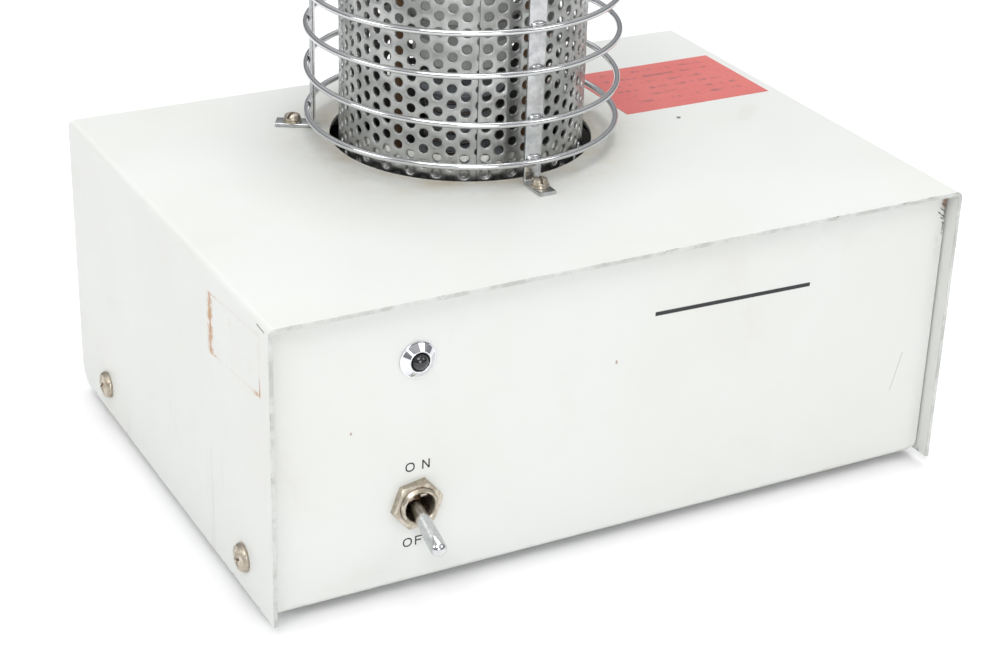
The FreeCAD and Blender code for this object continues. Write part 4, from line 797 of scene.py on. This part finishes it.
def build_perforated_cylinder(material):
    """Rolled perforated sheet: a cell of faces round each hole, with a rolled-in rim, and a lapped seam."""
    step = (360 - SEAM_GAP) / (COLUMNS - 1)
    first = SEAM + SEAM_TO_FIRST
    bottom, top = TUBE_LO.z, TUBE_HI.z
    bm = bmesh.new()

    def skin(angle, z, depth):
        """A point of the sheet: small flats between columns, shallow dents, and the lap at the seam."""
        past = angle - SEAM
        lap = 0.5 * MM * max(0.0, (past - 340) / 20) ** 2
        flats = 0.035 * MM * math.cos(2 * math.pi * (past - SEAM_TO_FIRST) / step)
        dents = 0.16 * MM * noise.noise(polar(2.2, angle, z * 28))
        return AXIS + polar(TUBE_R - 0.12 * MM - depth + lap + flats + dents, angle, z)

    def strip(a0, a1, z0, z1, columns, rows):
        """A plain patch of the sheet, both faces."""
        for depth in (0, TUBE_WALL):
            grid = [[bm.verts.new(skin(a0 + (a1 - a0) * i / columns, z0 + (z1 - z0) * j / rows, depth))
                     for i in range(columns + 1)] for j in range(rows + 1)]
            for j in range(rows):
                for i in range(columns):
                    bm.faces.new([grid[j][i], grid[j][i + 1], grid[j + 1][i + 1], grid[j + 1][i]])

    def cell(angle, z):
        """One hole in its rectangle of sheet."""
        across = math.degrees(1 / TUBE_R)
        half_a, half_z = step / 2, HOLE_PITCH / 2
        square = []
        for k in range(HOLE_SEGMENTS):
            side, part = divmod(k, HOLE_SEGMENTS // 4)
            t = -1 + 2 * part / (HOLE_SEGMENTS // 4)
            u, v = ((1, t), (-t, 1), (-1, -t), (t, -1))[side]
            square.append((u * half_a, v * half_z))
        rims = ((1.82 * MM, 0), (1.62 * MM, 0.07 * MM), (HOLE_R, 0.26 * MM), (HOLE_R, TUBE_WALL))
        loops = [[bm.verts.new(skin(angle + u, z + v, 0)) for u, v in square]]
        for radius, depth in rims:
            loops.append([bm.verts.new(skin(
                angle + radius * across * math.cos(turn), z + radius * math.sin(turn), depth))
                for turn in (math.radians(360 * k / HOLE_SEGMENTS - 45) for k in range(HOLE_SEGMENTS))])
        loops.append([bm.verts.new(skin(angle + u, z + v, TUBE_WALL)) for u, v in square])
        for a, b in zip(loops, loops[1:]):
            for k in range(HOLE_SEGMENTS):
                n = (k + 1) % HOLE_SEGMENTS
                bm.faces.new([a[k], a[n], b[n], b[k]])

    def notched(angle, edge, z):
        """The stretch from the last column to the sheet's edge, which cuts through one more column."""
        across = math.degrees(1 / TUBE_R)
        offset = (angle - edge) / across
        chord = math.acos(offset / HOLE_R)
        bite = [(angle - HOLE_R * across * math.cos(t), z + HOLE_R * math.sin(t))
                for t in (chord * (k / 3 - 1) for k in range(7))]
        left = angle - step / 2
        outline = [(left, z + HOLE_PITCH * (0.5 - k / 4)) for k in range(5)]
        outline += [(edge, z - HOLE_PITCH / 2)] + bite + [(edge, z + HOLE_PITCH / 2)]
        faces = [[bm.verts.new(skin(a, h, depth)) for a, h in outline] for depth in (0, TUBE_WALL)]
        for face in faces:
            bm.faces.new(face)
        for k in range(5, len(outline) - 1):
            bm.faces.new([faces[0][k], faces[0][k + 1], faces[1][k + 1], faces[1][k]])

    def ends(a0, a1, columns):
        """The sheet's cut edges at its bottom and top."""
        for z in (bottom, top):
            for i in range(columns):
                a, b = a0 + (a1 - a0) * i / columns, a0 + (a1 - a0) * (i + 1) / columns
                bm.faces.new([bm.verts.new(skin(p, z, d)) for p, d in
                              ((a, 0), (b, 0), (b, TUBE_WALL), (a, TUBE_WALL))])

    sheet_start, sheet_end = SEAM + 0.2, SEAM + 359.8
    above_top = 1.0 * MM
    for k in range(COLUMNS + 1):
        angle = first + step * k
        lowest = TOP + above_top + HOLE_PITCH * (0.5 if k % 2 else 0.0) - 2 * HOLE_PITCH
        rows = [lowest + HOLE_PITCH * n for n in range(40)]
        rows = [z for z in rows if bottom + HOLE_R + 0.6 * MM < z < top - HOLE_R - 0.6 * MM]
        for z in rows:
            if k < COLUMNS:
                cell(angle, z)
            else:
                notched(angle, sheet_end, z)
        a0, a1, columns = angle - step / 2, angle + step / 2, 4
        if k == COLUMNS:
            a1, columns = sheet_end, 1
        for z0, z1 in ((bottom, rows[0] - HOLE_PITCH / 2), (rows[-1] + HOLE_PITCH / 2, top)):
            quarters = max(1, round(abs(z1 - z0) / (HOLE_PITCH / 4)))
            if z1 - z0 > 0.01 * MM:
                strip(a0, a1, z0, z1, columns, quarters)
        ends(a0, a1, columns)
    plain_end = first - step / 2
    strip(sheet_start, plain_end, bottom, top, 1, round((top - bottom) / (HOLE_PITCH / 4)))
    ends(sheet_start, plain_end, 1)
    middle = (bottom + top) / 2
    for low, high in ((bottom, middle), (middle, top)):
        edge = ((low, 0), (high, 0), (high, TUBE_WALL), (low, TUBE_WALL))
        bm.faces.new([bm.verts.new(skin(sheet_start, h, d)) for h, d in edge])
    mesh = mesh_of(bm, "perforated", 40)
    show("perforated_sheet", mesh, "base", material, "galvanised_steel", "perforated_cylinder")


# ---------------------------------------------------------------- wire guard
def ring_height(ring, angle):
    """The height of a ring's wire above the table, at an angle round the guard."""
    lean = math.sin(math.radians(RING_LEAN)) if ring == LEANING_RING else 0
    return RING_HEIGHTS[ring] - RING_R * lean * math.cos(math.radians(angle - LEAN_TOWARDS))


def build_guard_rings(material):
    """Seven welded rings of round wire, each a little out of true."""
    bm = bmesh.new()
    around = 160
    section = circle(WIRE_R, 18)
    for ring in range(len(RING_HEIGHTS)):
        path, frames = [], []
        for k in range(around):
            angle = 360 * k / around
            from_strap = min(abs((angle - a + 180) % 360 - 180) for a in STRAP_ANGLES)
            free = math.sin(math.radians(min(from_strap, 60) * 1.5))
            lift = 0.25 * MM * free * math.sin(math.radians(2 * angle + 67 * ring))
            bulge = -0.15 * MM * free * (0.5 + 0.5 * math.sin(math.radians(3 * angle + 40 * ring)))
            out = polar(1, angle)
            path.append(AXIS + out * (RING_R + bulge) + Z_AXIS * (ring_height(ring, angle) + lift))
            frames.append((Z_AXIS, out))
        sweep(bm, path, section, frames, closed=True)
    show("guard_ring_wires", mesh_of(bm, "rings"), "base", material, "chrome_wire", "guard_rings")


def build_welds(material):
    """Small lumps where each ring is welded to a strap."""
    bm = bmesh.new()
    dome = [(math.cos(math.radians(a)), math.sin(math.radians(a))) for a in range(-40, 90, 13)] + [(0, 1)]
    strap_face = RING_R - WIRE_R
    for ring in range(len(RING_HEIGHTS)):
        for index, angle in enumerate(STRAP_ANGLES):
            for side, reach in ((1, 1.0), (-1, 0.7)):
                size = reach * (1.0 + 0.18 * math.sin(ring * 2.1 + index * 1.3 + side))
                height = ring_height(ring, angle) + side * 1.25 * WIRE_R
                place = turned(AXIS + polar(strap_face + 0.05 * MM, angle, height), polar(1, angle))
                lump = Matrix.Diagonal((2.2 * MM * size, 0.95 * MM * size, 0.75 * MM * size, 1))
                lathe(bm, dome, place @ lump, 20)
    show("guard_welds", mesh_of(bm, "welds", 180), "base", material, "chrome_strap")


def build_guard_straps(material):
    """Chromed strip, bent outwards at the foot and inwards over the top, soft-edged and a little kinked."""
    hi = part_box("guard_straps")[1]
    thickness, width = 1.25 * MM, 5.8 * MM
    outer = RING_R - WIRE_R - 0.12 * MM
    middle = outer - thickness / 2
    arm_r = 9.0 * MM
    low, high = TOP + thickness / 2, hi.z - thickness / 2
    bend = 1.5 * MM
    corner = 0.30 * MM
    half_w, half_t = width / 2, thickness / 2
    section = [(p.x, p.y) for p in rounded(
        [(0, -half_t, 0), (half_w, -half_t, corner), (half_w, half_t, corner), (-half_w, half_t, corner),
         (-half_w, -half_t, corner), (0, -half_t, 0)], 3)][:-1]
    bm = bmesh.new()
    for index, (angle, foot_r) in enumerate(zip(STRAP_ANGLES, STRAP_FOOT_R)):
        line = rounded([(foot_r, low, 0), (middle, low, bend), (middle, high, bend), (arm_r, high, 0)], 8)
        dense = []
        for a, b in zip(line, line[1:]):
            pieces = max(1, round((b - a).length / (4 * MM)))
            dense += [a.lerp(b, k / pieces) for k in range(pieces)]
        dense.append(line[-1])
        across = polar(1, angle + 90)
        out = polar(1, angle)
        path, frames = [], []
        for k, point in enumerate(dense):
            before, after = dense[max(0, k - 1)], dense[min(len(dense) - 1, k + 1)]
            ahead = (after - before).normalized()
            normal = Vector((-ahead.y, ahead.x))
            sway = 0.12 * MM * noise.noise(Vector((point.y * 60, index * 5.0, 0)))
            path.append(AXIS + out * point.x + Z_AXIS * point.y + across * sway)
            frames.append((across, out * normal.x + Z_AXIS * normal.y))
        sweep(bm, path, section, frames)
    show("guard_strap_strips", mesh_of(bm, "straps", 50), "base", material, "chrome_strap", "guard_straps")


def build_guard_top(material):
    """Two rings and a hub disc under the straps' arms."""
    lo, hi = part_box("guard_top")
    bm = bmesh.new()
    around = 120
    turns = [360 * k / around for k in range(around)]
    outer = (hi.x - lo.x) / 2 - WIRE_R
    for radius in (outer, outer - 12 * MM):
        path = [AXIS + polar(radius, turn, hi.z - WIRE_R) for turn in turns]
        frames = [(Z_AXIS, polar(1, turn)) for turn in turns]
        sweep(bm, path, circle(WIRE_R, 16), frames, closed=True)
    disc_r, disc_t, soft = 13 * MM, 1.2 * MM, 0.35 * MM
    disc = rounded([(0, -disc_t, 0), (disc_r, -disc_t, soft), (disc_r, 0, soft), (0, 0, 0)], 3)
    lathe(bm, disc, Matrix.Translation(AXIS + Z_AXIS * hi.z), 64)
    show("guard_top_wires", mesh_of(bm, "guard_top"), "base", material, "chrome_wire", "guard_top")


def build_guard_fasteners(nickel):
    """A slotted screw and a washer on each strap's foot."""
    seat_lo, seat_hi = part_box("guard_washers")
    places = [(AXIS + polar(r, angle, seat_hi.z), Z_AXIS, turn)
              for r, angle, turn in zip(STRAP_SCREW_R, STRAP_ANGLES, (75, 10, 35))]
    sizes = (2.8 * MM, 2.1 * MM, 1.45 * MM, 8 * MM)
    screw_group("guard_screw_heads", "guard_screws", sizes, places, "slot", nickel)
    bm = bmesh.new()
    inner, outer, thick = 1.55 * MM, 3.1 * MM, 0.6 * MM
    ring = rounded([(inner, 0, 0), (outer, 0, 0.12 * MM), (outer, thick, 0.15 * MM), (inner, thick, 0),
                    (inner, 0, 0)], 2)
    for screw_r, angle in zip(STRAP_SCREW_R, STRAP_ANGLES):
        lathe(bm, ring, Matrix.Translation(AXIS + polar(screw_r, angle, seat_lo.z)), 40)
    show("guard_washer_rings", mesh_of(bm, "washers"), "base", nickel, "old_nickel", "guard_washers")


# ---------------------------------------------------------------- switch and lamp
def build_switch(nickel):
    """Bat lever on a ball, threaded bushing and chamfered hexagon nut."""
    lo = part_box("switch_lever")[0]
    tip_r = 2.5 * MM
    reach = Vector((0, lo.y + tip_r - PIVOT.y, lo.z + tip_r - PIVOT.z))
    length = reach.length
    direction = reach.normalized()
    ball_r = 2.9 * MM
    lever = bmesh.new()
    bat = rounded([(1.7 * MM, 2.0 * MM, 0), (1.95 * MM, 3.4 * MM, 1 * MM), (2.05 * MM, 5.0 * MM, 2 * MM),
                   (tip_r, length - 3.0 * MM, 4 * MM), (tip_r, length, 0)], 5)
    bat += arc(tip_r, range(10, 90, 10), length, tip_r * 0.99) + [Vector((0, length + tip_r * 0.99))]
    lathe(lever, bat, turned(PIVOT, direction), 48)
    lathe(lever, arc(ball_r, range(-90, 91, 10)), turned(PIVOT, direction), 40)
    tail = rounded([(0, -6 * MM, 0), (1.4 * MM, -6 * MM, 0.6 * MM), (1.4 * MM, -2 * MM, 0)], 4)
    lathe(lever, tail, turned(PIVOT, direction), 24)
    lever = mesh_of(lever, "lever", 50)
    show("toggle_lever", lever, "toggle", lever_chrome(), "chrome_lever", "switch_lever")

    bush_lo, bush_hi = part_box("switch_bushing")
    mouth, bore, r_out = bush_lo.y, 4.7 * MM, 5.95 * MM
    at = Vector((PIVOT.x, mouth, PIVOT.z))
    thread_pitch, thread_depth, thread_end = 0.8 * MM, 0.28 * MM, 12.0 * MM
    profile = [Vector((bore, thread_end)), Vector((bore, 0.35 * MM)), Vector((bore + 0.2 * MM, 0.08 * MM)),
               Vector((bore + 0.45 * MM, 0)), Vector((r_out - 0.55 * MM, 0)),
               Vector((r_out - 0.4 * MM, 0.1 * MM))]
    h = 0.3 * MM
    while h < thread_end:
        profile += [Vector((r_out - thread_depth, h)), Vector((r_out, h + thread_pitch / 2))]
        h += thread_pitch
    profile.append(Vector((r_out - thread_depth, h)))
    sleeve = bmesh.new()
    lathe(sleeve, profile, turned(at, Y_AXIS), 56)
    plate_t = 1.2 * MM
    half = (bush_hi.z - bush_lo.z) / 4 - bore / 2
    for side in (1, -1):
        low, high = PIVOT.z + side * (bore + half) - half, PIVOT.z + side * (bore + half) + half
        outline = [(bush_lo.x, low), (bush_hi.x, low), (bush_hi.x, high), (bush_lo.x, high)]
        prism(sleeve, outline, plate_t, Matrix.Translation((0, bush_hi.y, 0)) @ UPRIGHT)
    sleeve = mesh_of(sleeve, "sleeve", 60)
    show("switch_bushing_thread", sleeve, "base", nickel, "old_nickel", "switch_bushing")
    nut = softened(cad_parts["switch_nut"].data, 0.16 * MM, 2)
    show("switch_hex_nut", nut, "base", nickel, "old_nickel", "switch_nut")


def build_lamp(chromed, dark, black):
    """Conical chromed bezel with a thin rim, a black inner ring and a domed lens."""
    facing = Vector((0, -1, 0))
    rim = (LAMP_HI.x - LAMP_LO.x) / 2 - 0.3 * MM
    bezel = bmesh.new()
    profile = rounded([(3.3 * MM, -0.8 * MM, 0), (3.3 * MM, 0, 0), (rim, 0, 0.05 * MM),
                       (rim, 0.55 * MM, 0.12 * MM), (rim - 0.35 * MM, 0.66 * MM, 0.1 * MM),
                       (3.35 * MM, 2.15 * MM, 0.25 * MM), (3.0 * MM, 2.15 * MM, 0.12 * MM),
                       (2.9 * MM, 1.0 * MM, 0)], 4)
    lathe(bezel, profile, turned(LAMP, facing), 64)
    show("lamp_bezel_cone", mesh_of(bezel, "bezel", 30), "base", chromed, "chrome_lever", "lamp_bezel")
    lens = bmesh.new()
    ring = rounded([(2.92 * MM, 0.9 * MM, 0), (2.92 * MM, 1.9 * MM, 0.15 * MM),
                    (2.68 * MM, 1.9 * MM, 0.1 * MM), (2.62 * MM, 1.4 * MM, 0)], 3)
    dome = arc(2.60 * MM, range(0, 90, 9), 1.4 * MM, 2.45 * MM) + [Vector((0, 3.85 * MM))]
    lathe(lens, ring + dome, turned(LAMP, facing), 56)
    show("lamp_lens_dome", mesh_of(lens, "lens", 40), "base", dark, "dark_lens", "lamp_lens")
    dress(black, "lamp_holder")


# ---------------------------------------------------------------- back, underside
def build_spigot(nickel):
    """The hose's spigot on the back panel, a spun flange and neck held by four screws."""
    lo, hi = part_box("hose_spigot")
    flange_r = (hi.x - lo.x) / 2
    at = Vector(((lo.x + hi.x) / 2, lo.y, (lo.z + hi.z) / 2))
    outer, inner, flange_t = 19.0 * MM, 17.5 * MM, 2.0 * MM
    length = hi.y - lo.y
    bm = bmesh.new()
    profile = rounded([(inner, 0, 0), (flange_r, 0, 0.1 * MM), (flange_r, flange_t, 0.6 * MM),
                       (outer, flange_t, 0.8 * MM), (outer, length, 0.5 * MM), (inner, length, 0.4 * MM),
                       (inner, 0, 0)], 5)
    lathe(bm, profile, turned(at, Y_AXIS), 96)
    aluminium = spigot_aluminium(at, inner)
    show("hose_spigot_spun", mesh_of(bm, "spigot", 40), "base", aluminium, "spun_aluminium", "hose_spigot")
    lo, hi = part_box("spigot_screws")
    head_r = 2.8 * MM
    ring = (hi.x - lo.x) / 2 - head_r
    seat = at.y + flange_t
    places = [(Vector((at.x + sx * ring, seat, at.z + sz * ring)), Y_AXIS, 20 + 30 * sx + 15 * sz)
              for sx in (-1, 1) for sz in (-1, 1)]
    sizes = (head_r, 1.9 * MM, 1.5 * MM, 7 * MM)
    screw_group("spigot_screw_heads", "spigot_screws", sizes, places, "cross", nickel)


def build_inlet_and_fuse(black, bright, nickel):
    """The mains inlet with its blades and screws, and the fuse holder's cap."""
    for node, body, width in (("mains_inlet", "base", 0.25 * MM), ("fuse_cap", "fuse_carrier", 0.12 * MM)):
        moulding = softened(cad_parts[node].data, width, 2)
        show(node + "_moulding", moulding, body, black, "black_plastic", node)
    blades = softened(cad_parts["inlet_pins"].data, 0.3 * MM, 3)
    show("inlet_blades", blades, "base", bright, "bright_steel", "inlet_pins")
    lo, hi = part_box("inlet_screws")
    head_r = (hi.z - lo.z) / 2
    seat = hi.y - 1.8 * MM
    places = [(Vector((x, seat, (lo.z + hi.z) / 2)), Y_AXIS, turn)
              for x, turn in ((lo.x + head_r, 25), (hi.x - head_r, 60))]
    sizes = (head_r, 1.75 * MM, 1.5 * MM, 8 * MM)
    screw_group("inlet_screw_heads", "inlet_screws", sizes, places, "cross", nickel)


def build_feet(rubber, zinc):
    """Four rubber feet, each with a screw sunk in it."""
    lo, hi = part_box("rubber_feet")
    foot_r, hole_r, well_r, well = 8.2 * MM, 2.1 * MM, 4.2 * MM, 2.6 * MM
    columns, rows = (lo.x + foot_r, hi.x - foot_r), (lo.y + foot_r, hi.y - foot_r)
    places = [Vector((x, y, 0)) for x in columns for y in rows]
    profile = rounded([(hole_r, well, 0), (well_r, well, 0.2 * MM), (well_r, 0, 0.4 * MM),
                       (7.3 * MM, 0, 1.0 * MM), (foot_r, hi.z, 0.3 * MM), (hole_r, hi.z, 0)], 4)
    bm = bmesh.new()
    for at in places:
        lathe(bm, profile, Matrix.Translation(at), 48)
    show("rubber_foot_set", mesh_of(bm, "feet", 40), "base", rubber, "black_rubber", "rubber_feet")
    sizes = (3.6 * MM, 1.7 * MM, 1.9 * MM, 9 * MM)
    screws = [(at + Z_AXIS * well, -Z_AXIS, 30 * k) for k, at in enumerate(places)]
    screw_group("foot_screw_heads", "foot_screws", sizes, screws, "cross", zinc, "zinc_steel")


# ---------------------------------------------------------------- everything, in order
def build_all():
    """Makes the shared materials, builds the detailed pieces, and dresses the CAD nodes that stay."""
    nickel = worn_metal("old_nickel", (0.62, 0.57, 0.49), (0.36, 0.31, 0.24), (0.24, 0.46), 420,
                        (0.26, 0.15, 0.07), 0.5)
    zinc = worn_metal("zinc_plate", (0.62, 0.63, 0.64), (0.42, 0.43, 0.43), (0.30, 0.48), 380)
    bright = worn_metal("bright_steel", (0.78, 0.78, 0.77), (0.60, 0.60, 0.59), (0.16, 0.30), 250)
    grey = moulded("aluminium_enamel", (0.74, 0.76, 0.73), (0.66, 0.68, 0.64), (0.35, 0.5), 500)
    wire = chrome("chrome_wire_plate", 0.12, (0.10, 0.17), (0.66, 0.67, 0.68))
    strap = worn_metal("chrome_strip_plate", (0.58, 0.59, 0.60), (0.42, 0.43, 0.44), (0.14, 0.26), 260,
                       (0.22, 0.19, 0.15), 0.30, bump=0.16)
    polished = chrome("chrome_bright_plate", 0.30, (0.03, 0.08), (0.76, 0.77, 0.80))
    cast = worn_metal("cast_aluminium", (0.52, 0.53, 0.54), (0.38, 0.39, 0.40), (0.45, 0.62), 500, bump=0.6)
    brass = worn_metal("machined_brass", (0.78, 0.62, 0.30), (0.60, 0.45, 0.20), (0.22, 0.38), 300)
    coil = worn_metal("resistance_wire", (0.32, 0.29, 0.27), (0.18, 0.15, 0.14), (0.40, 0.60), 700)
    black = moulded("black_moulding", (0.030, 0.030, 0.031), (0.045, 0.045, 0.045))
    phenolic = moulded("brown_phenolic", (0.13, 0.065, 0.04), (0.18, 0.09, 0.055))
    rubber = moulded("black_rubber", (0.028, 0.028, 0.028), (0.050, 0.048, 0.045), (0.65, 0.8), 600, 0.5)
    # painted shade: the white ceramic is coloured blue-grey, as it looks in the shade deep inside the case
    ceramic_painted_shade = moulded("white_ceramic", (0.42, 0.45, 0.50), (0.34, 0.37, 0.42), (0.35, 0.5), 800, 0.4)
    brown = moulded("brown_ceramic", (0.30, 0.18, 0.10), (0.22, 0.12, 0.06), (0.4, 0.55), 700, 0.4)
    honeycomb = moulded("catalyst_ceramic", (0.10, 0.10, 0.095), (0.06, 0.06, 0.06), (0.75, 0.9), 900, 0.8)
    enamel = moulded("motor_enamel", (0.06, 0.06, 0.065), (0.09, 0.09, 0.09), (0.3, 0.45), 700)
    sleeve = moulded("woven_sleeve", (0.62, 0.60, 0.52), (0.50, 0.47, 0.38), (0.7, 0.85), 2200, 0.9)
    sheet = galvanised()

    build_case()
    build_case_screws(nickel)
    build_lettering(ink_black())
    build_perforated_cylinder(sheet)
    build_guard_rings(wire)
    build_welds(strap)
    build_guard_straps(strap)
    build_guard_top(wire)
    build_guard_fasteners(nickel)
    build_switch(nickel)
    build_lamp(polished, lens_glass(), black)
    build_spigot(nickel)
    build_inlet_and_fuse(black, bright, nickel)
    build_feet(rubber, zinc)

    dress(sheet, "cylinder_cap", "canister_bands")
    dress(bright, "thermal_cutout", "fan_shaft", "switch_pin")
    dress(collar_steel(), "outlet_collar")
    dress(grey, "catalyst_canister")
    dress(honeycomb, "catalyst_core")
    dress(brown, "ceramic_posts")
    dress(ceramic_painted_shade, "heater_former", "terminal_block")
    dress(coil, "heater_coil")
    dress(nickel, "post_screws", "cap_screws", "switch_back_nut", "lamp_nut", "fuse_nut")
    dress(zinc, "clinch_nuts", "foot_nuts", "heater_bolt", "heater_nut", "guard_nuts", "fan_screws",
          "pillar_screws")
    dress(cast, "fan_frame")
    dress(enamel, "fan_motor")
    dress(brass, "fan_bearings", "fan_pillars", "switch_terminals", "terminal_screws")
    dress(black, "fan_rotor", "fuse_holder")
    dress(phenolic, "switch_body")
    dress(glass_tube(), "fuse")
    dress(sleeve, "wiring")


# ---------------------------------------------------------------- floor, light, camera
def build_floor():
    """A plain pale floor, 6 m wide."""
    half = 3.0
    bm = bmesh.new()
    corners = [bm.verts.new((sx * half, sy * half, 0)) for sx, sy in ((-1, -1), (1, -1), (1, 1), (-1, 1))]
    bm.faces.new(corners)
    mesh = bpy.data.meshes.new("floor")
    bm.to_mesh(mesh)
    bm.free()
    floor = linked("floor", mesh)
    s = Shade("floor_white")
    weave = s.noise(9, 4, 0.5)
    colour = s.mix(weave, (0.90, 0.90, 0.91), (0.93, 0.93, 0.93))
    mesh.materials.append(s.finish(colour, 0.85, weave, 0.1, 1 * MM))


def area_light(name, at, look_at, width, height, power, colour=(1, 1, 1)):
    """A soft box at a place, facing another."""
    light = bpy.data.lights.new(name, "AREA")
    light.shape, light.size, light.size_y = "RECTANGLE", width, height
    light.energy, light.color = power, colour
    obj = linked(name, light)
    obj.location = at
    obj.rotation_euler = (Vector(look_at) - Vector(at)).to_track_quat("-Z", "Y").to_euler()


def build_light():
    """A studio that is bright above and dimmer near the floor, with six soft boxes."""
    world = bpy.data.worlds.new("studio")
    bpy.context.scene.world = world
    world.use_nodes = True
    tree = world.node_tree
    background = tree.nodes["Background"]
    where = tree.nodes.new("ShaderNodeTexCoord").outputs["Generated"]
    split = tree.nodes.new("ShaderNodeSeparateXYZ")
    tree.links.new(where, split.inputs[0])
    ramp = tree.nodes.new("ShaderNodeValToRGB")
    tree.links.new(split.outputs["Z"], ramp.inputs["Fac"])
    ramp.color_ramp.elements[0].position = 0.15
    ramp.color_ramp.elements[0].color = (0.38, 0.39, 0.41, 1)
    ramp.color_ramp.elements[1].position = 0.80
    ramp.color_ramp.elements[1].color = (1, 1, 1, 1)
    tree.links.new(ramp.outputs["Color"], background.inputs["Color"])
    background.inputs["Strength"].default_value = 0.68
    target = (0, 0, 0.06)
    area_light("key", (-0.9, -1.0, 1.7), target, 1.1, 0.9, 14, (1.0, 0.995, 0.985))
    area_light("fill", (1.1, -1.4, 1.3), target, 0.8, 0.8, 5)
    area_light("back", (0.5, 1.2, 1.6), target, 1.6, 0.8, 3.5)
    area_light("left", (-1.6, 0.2, 0.9), target, 0.8, 0.8, 6)
    area_light("top", (0.2, 0.1, 1.9), target, 1.0, 1.0, 14)
    area_light("low", (-0.5, -1.9, 0.6), target, 0.9, 0.7, 10)


def build_camera():
    """The viewpoint, in cover widths from the cover's front left bottom corner."""
    width = RIGHT - LEFT
    offset = Vector((-0.84602, -2.09079, 1.53009)) * width
    yaw, pitch, roll = 28.759, 26.521, 1.829
    camera = bpy.data.cameras.new("camera")
    camera.lens, camera.sensor_width = 79.14, 36.0
    camera.clip_start = 0.05
    obj = linked("camera", camera)
    obj.matrix_world = (Matrix.Translation(COVER_LO + offset) @ Matrix.Rotation(math.radians(-yaw), 4, "Z")
                        @ Matrix.Rotation(math.radians(90 - pitch), 4, "X")
                        @ Matrix.Rotation(math.radians(roll), 4, "Z"))
    bpy.context.scene.camera = obj


build_all()
build_floor()
build_light()
build_camera()
bpy.context.scene.view_settings.view_transform = "Standard"
